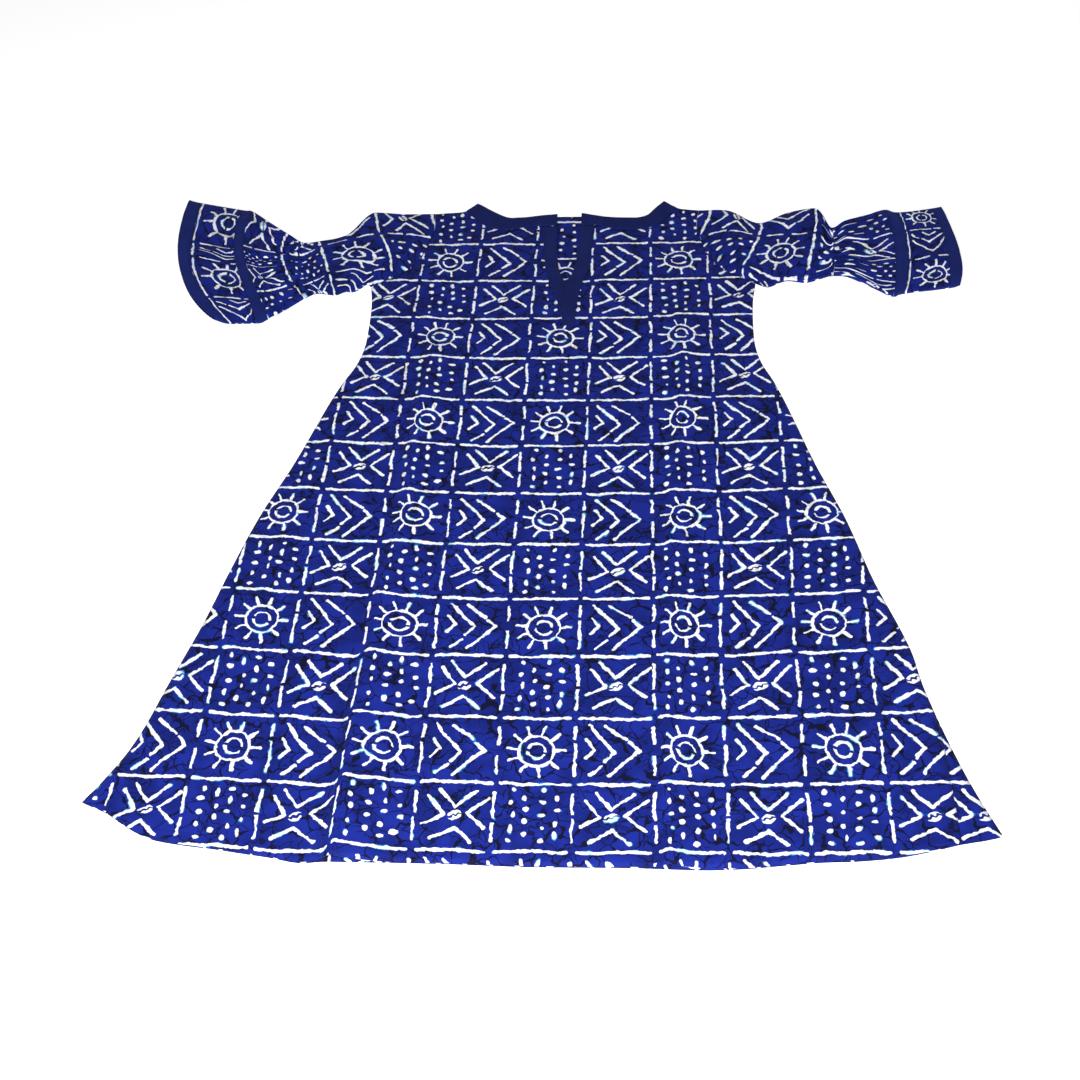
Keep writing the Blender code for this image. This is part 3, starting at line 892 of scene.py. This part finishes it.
@dataclass
class Body:
    """The two panels, each one sheet, and the plain bands of the neck and notch."""

    ground: GarmentFrame
    printed: Material
    plain: Material
    form: DressForm = field(default_factory=DressForm)
    wall: float = 0.6
    back_wall: float = 0.9
    band_wall: float = 1.1
    front_rows: int = 190
    front_columns: int = 96
    back_lines: int = 120
    back_columns: int = 60
    back_height: float = 1.15
    edge_drop: float = 0.85
    hem_turn: float = 0.5
    hem_width: float = 12.0
    hem_ripple: float = 0.5
    band_columns: int = 17
    band_rise: float = 1.5
    band_round: float = 0.7
    band_edge: float = 1.8
    crossing_lift: float = 2.1
    column_pitch: float = 75.7
    row_pitch: float = 76.5
    # Print of the front: where it starts, its bow, its lag on raised cloth and its steps at folds
    print_middle: float = 2.0
    print_foot: float = 10.0
    bow: float = 10.0
    climb: float = 0.87
    neck_lag: float = 3.8
    right_shift: float = 4.6
    fold_step: float = 9.0
    corner_step: float = 6.0
    back_drop: float = 0.5
    # Print of the back: reach and column, height and row
    back_print_columns: Table = ((-445, -5.94), (5, 0), (427, 5.0), (445, 5.21))
    back_print_rows: Table = (
        (-10, -0.43), (57.6, 0.5), (895, 12), (973.5, 13), (1015, 13.52),
    )
    pinch: float = 0.85
    pinch_spread: float = 17.0
    # Lower edge of the neck band: reach from the neck's middle and height
    band_points: int = 6
    foot_left: Table = (
        (16.5, 961.5), (38, 961.5), (84, 953), (108, 959), (125, 975), (143, 997),
    )
    foot_right: Table = (
        (16.5, 961.5), (38, 960.5), (73, 950), (116, 958), (134, 980), (146, 997),
    )
    # Height, outer edge, inner edge
    placket_left: Table = (
        (753, 0, 13), (785, -5.5, 12), (815, -14.5, 5), (838, -21.5, -0.5),
        (855, -26, -7.5), (900, -31, -13.5), (960, -36, -16),
    )
    placket_right: Table = (
        (753, 14.5, -1), (785, 15, -4), (815, 18.5, -2), (838, 22, 1),
        (855, 27, 7.5), (900, 31, 13.5), (960, 36, 16),
    )

    def front_print(self, x: Array, y: Array) -> Array:
        """Place in the print: rows bow up towards the sides, and a fold takes cloth in."""
        taken = np.zeros_like(x)
        for rows in (self.form.fold_left, self.form.fold_right):
            off = (x - curve_through(rows, y)) / self.pinch_spread
            taken = taken + curve_through(rows, y, 2) * self.pinch * off * np.exp(-(off**2))
        left, right = smooth(-x, 183, 190), smooth(x, 130, 170)
        low, outer = 1 - smooth(y, 250, 400), 1 - smooth(x, 330, 420)
        taken = taken + self.right_shift * right * low * outer
        u = (x + taken - self.print_middle) / self.column_pitch
        raised = self.form.flat_height + self.form.air(x, y)
        lag = self.climb * raised * smooth(y, 0, 120)
        lag = lag + self.neck_lag * smooth(y, 640, 860)
        bow = self.bow - self.bow / 2 * smooth(x, 0, 60) * (1 - smooth(y, 60, 260))
        dropped = self.fold_step * left * (1 - smooth(y, 120, 330))
        dropped = dropped + self.corner_step * smooth(-x, 300, 420) * (1 - smooth(y, 60, 250))
        start = self.print_foot + bow * (np.abs(x) / 300.0) ** 2
        v = (y + lag + dropped - start) / self.row_pitch
        return np.stack([u, v], -1)

    def back_print(self, x: Array, y: Array) -> Array:
        """Place in the print on the back, which was cut with its own phase."""
        u = curve_through(self.back_print_columns, x)
        return np.stack([u, curve_through(self.back_print_rows, y)], -1)

    def hem_gap(self, x: Array, y: Array) -> Array:
        """Along and away from the hem, in millimetres."""
        return np.stack([x, y - self.form.hem_height(x)], -1)

    def front_sheet(self) -> Sheet:
        """The front's upper face: its edges are drawn down to the back panel."""
        form = self.form
        rows = np.linspace(form.corner_height, form.shoulder_height, self.front_rows)
        inset = form.neck_inset * smooth(rows, form.slit_foot, form.slit_foot + 15)
        slit = curve_through(form.slit, rows) + inset
        halves = []
        for side in Side:
            reach = form.front_reach(rows, side)
            x, y = form.half_grid(side, reach, slit, rows, self.front_columns, form.neck_inset)
            gap = self.hem_gap(x, y)
            from_hem, from_side = gap[..., 1], (reach[:, None] - np.abs(x)) * 0.95
            edge = np.minimum(np.maximum(from_hem, 0), from_side)
            drop = self.edge_drop * (1 - smooth(edge, 0, 5)) * (1 - smooth(y, 850, 900))
            turned = self.hem_turn * (1 - smooth(from_hem, self.hem_width, self.hem_width + 2))
            ripple = self.hem_ripple * np.sin(x / 6.3 + np.sin(x / 41.0) * 2)
            ripple = ripple * (1 - smooth(from_hem, 6, 30)) * smooth(edge, 0, 8)
            z = form.front_height(x, y) + turned + ripple - drop
            halves.append(Sheet.from_grid(
                np.stack([x, y, z], -1), self.front_print(x, y), gap, side is Side.RIGHT
            ))
        return halves[0].joined(halves[1])

    def back_sheet(self) -> Sheet:
        """The back's upper face, which lies on the surface under the front."""
        form = self.form
        rows = np.linspace(form.corner_height, form.shoulder_height, self.back_lines)
        halves = []
        for side in Side:
            reach = form.side_reach(rows, side.value)
            x, y = form.half_grid(side, reach, rows * 0, rows, self.back_columns, self.back_drop)
            z = self.back_height + 0.08 * slack_field(x, y, 21, 80.0)
            halves.append(Sheet.from_grid(
                np.stack([x, y, z], -1), self.back_print(x, y), self.hem_gap(x, y),
                side is Side.RIGHT
            ))
        return halves[0].joined(halves[1])

    def band_sheet(
        self, edges: tuple[Array, Array], lift: Array | float, turned: bool
    ) -> Sheet:
        """A plain band on the front.

        Args:
            edges: its two edges, each rows × 2.
            lift: extra height at each row.
            turned: True where its rows turn the other way round.

        Returns:
            The band's upper face, rounded down at both edges.
        """
        share = np.linspace(0, 1, self.band_columns)[None, :, None]
        plan = edges[0][:, None] * (1 - share) + edges[1][:, None] * share
        x, y = plan[..., 0], plan[..., 1]
        width = np.linalg.norm(edges[1] - edges[0], axis=1)[:, None]
        across = share[..., 0] * width
        from_edge = np.minimum(across, width - across)
        rounded = self.band_round * (1 - np.clip(from_edge / self.band_edge, 0, 1)) ** 2
        base = self.form.front_height(x, y) + self.band_rise
        z = base + np.broadcast_to(lift, y.shape[:1])[:, None] - rounded
        z = z + 0.25 * slack_field(x, y, 31, 30.0)
        walked = np.linalg.norm(np.diff(plan[:, self.band_columns // 2], axis=0), axis=1)
        along = np.concatenate([[0], np.cumsum(walked)])[:, None] + 0 * x
        grid = np.stack([x, y, z], -1)
        stitch = np.stack([along, from_edge], -1)
        return Sheet.from_grid(grid, np.stack([across, along], -1) / TILE, stitch, turned)

    def neck_band(self, side: Side) -> Sheet:
        """Half of the band along the neckline."""
        edges = []
        top = self.form.neckline(side)[:self.band_points]
        for rows in (top, self.foot_left if side is Side.LEFT else self.foot_right):
            line = np.array(rows, float)
            walked = np.concatenate([[0], np.cumsum(np.hypot(*np.diff(line, axis=0).T))])
            at = np.linspace(0, walked[-1], 90)
            table = np.column_stack([walked, line])
            x = self.form.neck_shift + side.value * curve_through(table, at, 1)
            edges.append(np.stack([x, curve_through(table, at, 2)], -1))
        return self.band_sheet((edges[0], edges[1]), 0.0, side is Side.RIGHT)

    def placket(self, side: Side) -> Sheet:
        """One band of the notch. The right one crosses over the left one below the foot."""
        rows = self.placket_left if side is Side.LEFT else self.placket_right
        heights = np.linspace(rows[0][0], rows[-1][0] - 0.3, 120)
        edges = [
            np.stack([self.form.neck_shift + curve_through(rows, heights, k), heights], -1)
            for k in (1, 2)
        ]
        over = side is Side.RIGHT
        lift = self.crossing_lift * (1 - smooth(heights, 845.0, 885.0)) if over else 0.0
        return self.band_sheet((edges[0], edges[1]), lift, over)

    def build(self) -> list[bpy.types.Object]:
        made = []
        cotton, navy, front = "printed_cotton", "plain_navy_cotton", ("front_panel",)
        back = Piece("back_panel", cotton, 880, 1017, 0.665, "laid", ("surface",))
        panel = Piece("front_panel", cotton, 880, 1017, 0.665, "laid", ("back_panel",))
        work = [
            (self.back_sheet(), self.back_wall, self.printed, back),
            (self.front_sheet(), self.wall, self.printed, panel),
        ]
        for side in Side:
            for sheet, name, width, length in (
                (self.placket(side), "placket_band", 19, 220),
                (self.neck_band(side), "neck_band", 23, 155),
            ):
                band = Piece(f"{name}_{side.label}", navy, width, length, 1.0, "laid", front)
                work.append((sheet, self.band_wall, self.plain, band))
        for sheet, wall, material, piece in work:
            name = f"{piece.node}_cloth"
            cloth = sheet.build(name, wall, self.ground, material)
            piece.declare(cloth)
            made.append(cloth)
        return made


# ---------------------------------------------------------------- the sleeves


@dataclass(frozen=True)
class Station:
    """One section of a flattened sleeve: values at its top fold, both thirds and bottom fold.

    The print is needed only as far as the bell. Beyond it the cuts are plain or have tables.
    """

    name: str
    reach: Four
    height: Four
    thick: float
    print_u: Four = (0.0, 0.0, 0.0, 0.0)
    print_v: Four = (0.0, 0.0, 0.0, 0.0)


@dataclass(frozen=True)
class SleeveCut:
    """A stretch of the sleeve that is sewn as one piece."""

    name: str
    first: str
    last: str
    plain: bool
    width: float
    length: float


@dataclass
class Sleeve:
    """One sleeve: set-in sleeve, bell, plain strip, flounce and plain cuff band."""

    side: Side
    stations: tuple[Station, ...]
    cuts: tuple[SleeveCut, ...]
    creases: Table
    gathers: tuple[Four, ...]
    bell_print: dict[str, tuple[Table, Four]]
    flounce_print: dict[str, tuple[Table, Four]]
    form: DressForm
    ground: GarmentFrame
    printed: Material
    plain: Material
    around: int = 90
    pleat_turns: float = 74.0
    taken_in: float = 0.018
    per_station: int = 12
    wall: float = 0.6
    clearance: float = 0.35
    seam_gap: float = 0.15
    slack: float = 0.5
    underside: float = 0.7
    under_slack: float = 0.15

    @staticmethod
    def through(knots: Array, share: Array) -> Array:
        """The cubic through values at shares 0, 1/3, 2/3 and 1."""
        at = np.array([0, 1 / 3, 2 / 3, 1])
        weights = [
            np.prod([(share - at[j]) / (at[i] - at[j]) for j in range(4) if j != i], axis=0)
            for i in range(4)
        ]
        return np.tensordot(knots, np.array(weights), axes=([-1], [0]))

    def plans(self, share: Array) -> Array:
        """Plan of every station's section. The first one follows the panel's armhole."""
        knots = np.array([[s.reach, s.height] for s in self.stations], float)
        sections = self.through(knots, share)
        height = np.linspace(self.form.shoulder_height, self.form.underarm_height, 120)
        reach = self.form.side_reach(height, self.side.value)
        walked = np.concatenate([[0], np.cumsum(np.hypot(np.diff(reach), np.diff(height)))])
        sections[0, 0] = np.interp(share * walked[-1], walked, reach) + self.clearance
        sections[0, 1] = np.interp(share * walked[-1], walked, height) + self.clearance * share
        return sections

    @staticmethod
    def along(values: Array, places: Sequence[float], at: Array) -> Array:
        """Values whose first axis is a station, read at fractional places between stations."""
        flat = values.reshape(len(values), -1)
        read = [curve_through(list(zip(places, flat[:, k])), at) for k in range(flat.shape[1])]
        return np.stack(read, -1).reshape((len(at),) + values.shape[1:])

    def pleats(
        self, gathers: Sequence[Row], share: Array, at: Array, quarter: float
    ) -> Array:
        """Pleats that fan out from gathered seams and die away.

        Args:
            gathers: place, spread before and after it, and size.
            share: shares of the way round.
            at: fractional places along the sleeve.
            quarter: start of the wave, in quarter turns.

        Returns:
            The sum over the seams of size · exp(−(d/spread)²) · sin of a wave whose pitch varies.
        """
        total = np.zeros((len(at), len(share)))
        for place, before, after, size in gathers:
            off = at[:, None] - place
            fade = np.exp(-((off / np.where(off < 0, before, after)) ** 2))
            turn = share * self.pleat_turns + 1.7 * np.sin(share * 11.0) + off * 0.7
            total = total + size * fade * np.sin(turn + quarter * np.pi / 2)
        return total

    def print_at(self, cut: SleeveCut, at: Array, share: Array) -> Array:
        """Place in the print over the upper side of a cut."""
        tables = {"bell": self.bell_print, "flounce": self.flounce_print}.get(cut.name)
        if tables is None:
            both = np.array([[s.print_u, s.print_v] for s in self.stations], float)
            read = self.along(self.through(both, share), range(len(both)), at)
        else:
            names = [s.name for s in self.stations]
            both = np.array([
                [curve_through(u, share), self.through(np.array(v, float), share)]
                for u, v in tables.values()
            ])
            read = self.along(both, [names.index(name) for name in tables], at)
        read[:, 0] += self.taken_in * self.pleats(self.gathers[:1], share, at, 1.0)
        return np.moveaxis(read, 1, -1)

    def sheet(self, cut: SleeveCut) -> Sheet:
        """One cut as a sheet wrapped round from the underarm fold, over the top, and back.

        Args:
            cut: the piece.

        Returns:
            Its outer face. The two edges meet in a seam at the bottom fold.
        """
        names = [station.name for station in self.stations]
        start, end = names.index(cut.first), names.index(cut.last)
        steps = max(9, (end - start) * self.per_station + 1)
        at = np.linspace(start, end, steps)
        share = (1 - np.cos(np.linspace(0, np.pi, self.around))) / 2
        places = range(len(names))
        xy = self.along(self.plans(share), places, at)
        x, y = self.side.value * xy[:, 0], xy[:, 1]
        if start > 0:
            x = x + self.side.value * self.clearance * (at == start)[:, None]
        thick = self.along(np.array([[s.thick] for s in self.stations]), places, at)
        bow = np.sqrt(np.clip(4 * share * (1 - share), 0, 1))
        half = thick / 2
        rise = crease_field(x, y, self.creases) + self.slack * slack_field(x, y, 41, 30.0)
        rise = rise + self.pleats(self.gathers, share, at, 0.0)
        rise = rise * np.minimum(1, bow * 1.3) * np.minimum(1, thick / 8)
        over = np.maximum(half + half * bow**0.5 + rise, half + 0.4 * bow)
        under = half - (half - self.underside) * np.minimum(1, bow * 2) ** 0.65
        under = under + self.under_slack * bow * (1 + slack_field(x, y, 51, 40.0))
        upper, lower = (np.stack([x, y, z], -1) for z in (over, under))
        grid = np.concatenate([upper[:, ::-1], lower[:, 1:]], axis=1)
        grid[:, 0, 2] += self.seam_gap
        grid[:, -1, 2] -= self.seam_gap
        spans = np.linalg.norm(np.diff(grid, axis=0), axis=2)
        walked = np.concatenate([np.zeros((1, grid.shape[1])), np.cumsum(spans, axis=0)])
        from_edge = np.minimum(walked, walked[-1] - walked)
        ring = np.linalg.norm(np.diff(grid, axis=1), axis=2)
        round_it = np.concatenate([np.zeros((steps, 1)), np.cumsum(ring, axis=1)], axis=1)
        if cut.plain:
            prints = np.stack([from_edge, round_it], -1) / TILE
            stitch = np.stack([round_it, from_edge], -1)
        else:
            uv = self.print_at(cut, at, share)
            mirrored = np.stack([2 * uv[:, :1, 0] - uv[..., 0], uv[..., 1]], -1)
            prints = np.concatenate([uv[:, ::-1], mirrored[:, 1:]], axis=1)
            stitch = np.stack([round_it, from_edge + NO_STITCHES], -1)
        return Sheet.from_grid(grid, prints, stitch, self.side is Side.RIGHT)

    def build(self) -> list[bpy.types.Object]:
        made = []
        for cut in self.cuts:
            name = f"{cut.name}_{self.side.label}"
            material = self.plain if cut.plain else self.printed
            slot = "plain_navy_cotton" if cut.plain else "printed_cotton"
            cloth = self.sheet(cut).build(f"{name}_cloth", self.wall, self.ground, material)
            held = "gathered" if cut.name in {"bell", "flounce"} else "laid"
            Piece(name, slot, cut.width, cut.length, 1.0, held, ("surface",)).declare(cloth)
            made.append(cloth)
        return made


FROM_PANEL = (0.0, 0.0, 0.0, 0.0)   # the panel's armhole gives this plan
LEFT_STATIONS = (
    Station("armhole", FROM_PANEL, FROM_PANEL, 3.4,
            (-1.15, -0.42, 0.22, 0.92), (1.05, 0.84, 0.33, -0.3)),
    Station("cap", (222, 218, 228, 259), (992, 940, 888, 842), 7,
            (-1.15, -0.45, 0.22, 0.87), (0.55, 0.41, 0.03, -0.41)),
    Station("upper_arm", (264, 252, 250, 271), (995, 940, 885, 827), 9,
            (-1.3, -0.5, 0.13, 1.05), (0, -0.04, -0.27, -0.62)),
    Station("above_elbow", (297, 288, 282, 285), (946, 908, 868, 826), 9,
            (-0.75, -0.15, 0.5, 1.3), (-0.55, -0.56, -0.64, -0.81)),
    Station("print_row", (333, 325, 310, 297), (932, 905, 862, 820), 9,
            (-0.85, -0.28, 0.42, 1.2), (-1, -1, -1, -1)),
    Station("elbow_gather", (353, 350, 340, 318), (930, 895, 858, 824), 8,
            (-1.0, -0.42, 0.2, 0.95), (-1.44, -1.46, -1.58, -1.55)),
    Station("elbow_seam", (378, 379, 362, 335), (949, 905, 857, 815), 8,
            (-1.05, -0.45, 0.17, 0.9), (-1.97, -1.97, -1.97, -1.97)),
    Station("bell", (408, 410, 393, 356), (974, 905, 845, 792), 10,
            (0.9, 2.0, 3.45, 4.3), (0.6, 0.6, 0.6, 0.6)),
    Station("strip_top", (438, 434, 410, 377), (1000, 915, 845, 772), 11),
    Station("strip_foot", (452, 448, 424, 391), (1003, 915, 843, 764), 11),
    Station("band_top", (516, 511, 491, 427), (1022, 936, 856, 764), 10),
    Station("cuff", (534, 530, 504, 446), (1030, 938, 848, 772), 9),
)
RIGHT_STATIONS = (
    Station("armhole", FROM_PANEL, FROM_PANEL, 3.4,
            (-1.2, -0.5, 0.2, 0.9), (-0.2, 0.0, 0.52, 1.25)),
    Station("cap", (222, 218, 230, 258), (990, 940, 885, 832), 7,
            (-1.15, -0.45, 0.27, 0.95), (0.33, 0.43, 0.85, 1.35)),
    Station("upper_arm", (262, 257, 256, 267), (960, 918, 872, 828), 9,
            (-0.95, -0.35, 0.27, 0.65), (0.98, 1.0, 1.2, 1.45)),
    Station("above_elbow", (300, 296, 290, 292), (981, 930, 880, 840), 10,
            (-1.3, -0.5, 0.12, 0.5), (1.5, 1.48, 1.6, 1.72)),
    Station("print_row", (338, 334, 322, 315), (991, 940, 872, 838), 9,
            (-1.4, -0.6, 0.25, 0.6), (2, 2, 2, 2)),
    Station("elbow_seam", (357, 357, 355, 351), (948, 915, 880, 850), 8,
            (-1.5, -0.6, 0.35, 1.0), (2.3, 2.3, 2.3, 2.3)),
    Station("bell_flare", (376, 376, 375, 371), (963, 925, 882, 846), 9,
            (-0.25, 0.87, 2.0, 2.85), (0.2, 0.2, 0.2, 0.2)),
    Station("bell", (405, 405, 403, 402), (974, 925, 868, 822), 10),
    Station("strip_top", (431, 434, 432, 423), (984, 935, 872, 806), 11),
    Station("strip_foot", (447, 451, 449, 437), (977, 935, 870, 812), 11),
    Station("band_top", (491, 499, 501, 494), (986, 940, 880, 822), 10),
    Station("cuff", (506, 513, 517, 509), (991, 940, 880, 828), 9),
)
LEFT_CREASES = (
    (-205, 905, -262, 930, 2.0, 8), (-225, 870, -285, 850, 2.2, 8),
    (-280, 935, -330, 905, 2.6, 8), (-300, 850, -350, 880, 2.4, 8),
    (-340, 905, -378, 915, 2.4, 7), (-385, 900, -520, 905, 3.0, 9),
    (-375, 850, -440, 810, 2.4, 9), (-400, 960, -500, 985, 2.4, 10),
    (-455, 860, -500, 840, 2.2, 9), (-235, 960, -262, 900, 2.0, 9),
)
RIGHT_CREASES = (
    (205, 900, 262, 925, 2.0, 8), (225, 865, 285, 850, 2.2, 8),
    (275, 960, 335, 945, 2.4, 9), (300, 870, 350, 890, 2.4, 8),
    (330, 970, 357, 930, 2.6, 8), (362, 920, 440, 935, 3.0, 9),
    (370, 870, 430, 840, 2.4, 9), (430, 975, 447, 930, 2.6, 9),
    (455, 880, 505, 870, 2.2, 10), (235, 950, 262, 900, 2.0, 9),
)
# Name, first and last station, plain
CUTS = (
    ("sleeve", "armhole", "elbow_seam", False), ("bell", "elbow_seam", "strip_top", False),
    ("strip", "strip_top", "strip_foot", True), ("flounce", "strip_foot", "band_top", False),
    ("cuff_band", "band_top", "cuff", True),
)
# Station, spread before it, spread after it, size
LEFT_GATHERS = ((6.0, 1.1, 1.1, 1.9), (9.0, 0.2, 0.6, 0.9))
RIGHT_GATHERS = ((5.0, 1.2, 1.7, 2.1), (9.0, 0.2, 0.6, 0.9))
# Share of the way round and column of the print
LEFT_BELL_ROWS = ((0, 0.8), (0.07, 1), (0.32, 1.5), (0.41, 1.8), (0.46, 2.22), (0.51, 2.5),
                  (0.64, 3), (0.78, 3.5), (0.96, 4), (1, 4.1))
LEFT_FLOUNCE_ROWS = ((0, -0.4), (0.13, 0), (0.34, 0.45), (0.42, 0.8), (0.46, 1.25), (0.51, 1.55),
                     (0.66, 2), (0.83, 2.5), (0.9, 2.95), (1, 3.4))
RIGHT_BELL_ROWS = ((0, -0.5), (0.23, 0), (0.38, 0.5), (0.54, 1), (0.65, 1.5), (0.75, 2),
                   (0.88, 2.5), (1, 3.1))
RIGHT_FLOUNCE_ROWS = ((0, -0.4), (0.17, 0), (0.34, 0.5), (0.5, 1.05), (0.66, 1.5), (0.85, 2),
                      (1, 2.4))


def level(row: float) -> Four:
    """A row of the print that runs straight round the sleeve."""
    return (row,) * 4


def cuts(*sizes: tuple[float, float]) -> tuple[SleeveCut, ...]:
    """The cuts of a sleeve, with their flat widths and lengths."""
    return tuple(SleeveCut(*cut, *size) for cut, size in zip(CUTS, sizes))


SLEEVES = {
    Side.LEFT: (
        LEFT_STATIONS, cuts((310, 165), (400, 52), (480, 14), (520, 60), (550, 18)),
        LEFT_CREASES, LEFT_GATHERS,
        {"elbow_seam": (LEFT_BELL_ROWS, level(1.02)), "strip_top": (LEFT_BELL_ROWS, level(0.13))},
        {"strip_foot": (LEFT_FLOUNCE_ROWS, (1.66, 1.68, 1.74, 1.8)),
         "band_top": (LEFT_FLOUNCE_ROWS, level(0.94))},
    ),
    Side.RIGHT: (
        RIGHT_STATIONS, cuts((300, 155), (300, 76), (350, 16), (340, 50), (340, 16)),
        RIGHT_CREASES, RIGHT_GATHERS,
        {"elbow_seam": (RIGHT_BELL_ROWS, level(0.15)), "bell": (RIGHT_BELL_ROWS, level(0.5)),
         "strip_top": (RIGHT_BELL_ROWS, level(0.87))},
        {"strip_foot": (RIGHT_FLOUNCE_ROWS, level(0.965)),
         "band_top": (RIGHT_FLOUNCE_ROWS, (1.9, 1.9, 1.85, 1.75))},
    ),
}


# ---------------------------------------------------------------- studio


@dataclass(frozen=True)
class Studio:
    """A pale floor, soft lights and the camera."""

    floor_size: float = 30.0
    floor_colour: Four = (0.93, 0.93, 0.93, 1.0)
    eye: tuple[float, float, float] = (0.104695, -1.156413, 1.221056)
    elevation: float = 49.01
    yaw: float = -6.08
    roll: float = -4.46
    lens: float = 48.56
    sensor: float = 36.0
    glow: float = 0.51
    sky: float = 0.28
    # name, place, aim, size, watts
    lights: tuple[tuple[str, Row, Row, float, float], ...] = (
        ("key", (-0.05, -1.35, 1.15), (0.0, -0.35, 0.0), 0.8, 46.0),
        ("fill", (1.6, 1.2, 2.2), (0.0, 0.1, 0.0), 1.8, 1.5),
    )

    def floor(self) -> None:
        """The plain pale floor."""
        half = self.floor_size / 2
        corners = [(-half, -half, 0), (half, -half, 0), (half, half, 0), (-half, half, 0)]
        mesh = bpy.data.meshes.new("floor")
        mesh.from_pydata(corners, [], [(0, 1, 2, 3)])
        material = bpy.data.materials.new("pale_floor")
        material.use_nodes = True
        inputs = material.node_tree.nodes["Principled BSDF"].inputs
        values = {
            "Base Color": self.floor_colour, "Roughness": 0.9, "Specular IOR Level": 0.1,
            "Emission Color": (1.0, 1.0, 1.0, 1.0), "Emission Strength": self.glow,
        }
        for key, value in values.items():
            inputs[key].default_value = value
        mesh.materials.append(material)
        put("floor", mesh)

    def light(self, name: str, place: Row, aim: Row, size: float, watts: float) -> None:
        """One soft square light aimed at a point."""
        lamp = bpy.data.lights.new(name, "AREA")
        lamp.shape, lamp.size, lamp.energy = "SQUARE", size, watts
        made = put(name, lamp)
        made.location = place
        away = Vector(place) - Vector(aim)
        made.rotation_euler = away.to_track_quat("Z", "Y").to_euler()

    def camera(self) -> None:
        """The camera, from where it stands and how far it looks down, turns and rolls."""
        seen = bpy.data.cameras.new("camera")
        seen.lens, seen.sensor_width = self.lens, self.sensor
        seen.clip_start, seen.clip_end = 0.05, 60.0
        pose = Matrix.Translation(self.eye)
        for degrees, axis in ((-self.yaw, "Z"), (90.0 - self.elevation, "X"), (self.roll, "Z")):
            pose = pose @ Matrix.Rotation(math.radians(degrees), 4, axis)
        made = put("camera", seen)
        made.matrix_world = pose
        bpy.context.scene.camera = made

    def build(self) -> None:
        """Sets up the whole studio."""
        self.floor()
        for row in self.lights:
            self.light(*row)
        self.camera()
        scene = bpy.context.scene
        world = bpy.data.worlds.new("studio")
        world.use_nodes = True
        inputs = world.node_tree.nodes["Background"].inputs
        inputs["Color"].default_value, inputs["Strength"].default_value = (1, 1, 1, 1), self.sky
        scene.world = world
        scene.view_settings.view_transform = "Standard"


def main() -> None:
    """Builds the dress and the studio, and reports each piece."""
    logging.basicConfig(level=logging.INFO, format="%(name)s %(message)s")
    form = DressForm()
    ground = GarmentFrame.from_part(HEM_REACH, HEM_SAG, PACKED_PEAK - form.neck_inset)
    LOG.info("garment frame: %s", ground)
    printed, plain = PrintedCotton().material(), PlainCotton().material()
    made = Body(ground, printed, plain, form).build()
    bright = PlainCotton("bright_navy_cotton", BRIGHT_NAVY, BRIGHTER_NAVY).material()
    for side, tables in SLEEVES.items():
        made += Sleeve(side, *tables, form, ground, printed, bright).build()
    for cloth in made:
        faces, finish = len(cloth.data.polygons), cloth.active_material.name
        LOG.info("%s: %d faces, %s", cloth.name, faces, finish)
    Studio().build()


if __name__ == "__main__":
    main()
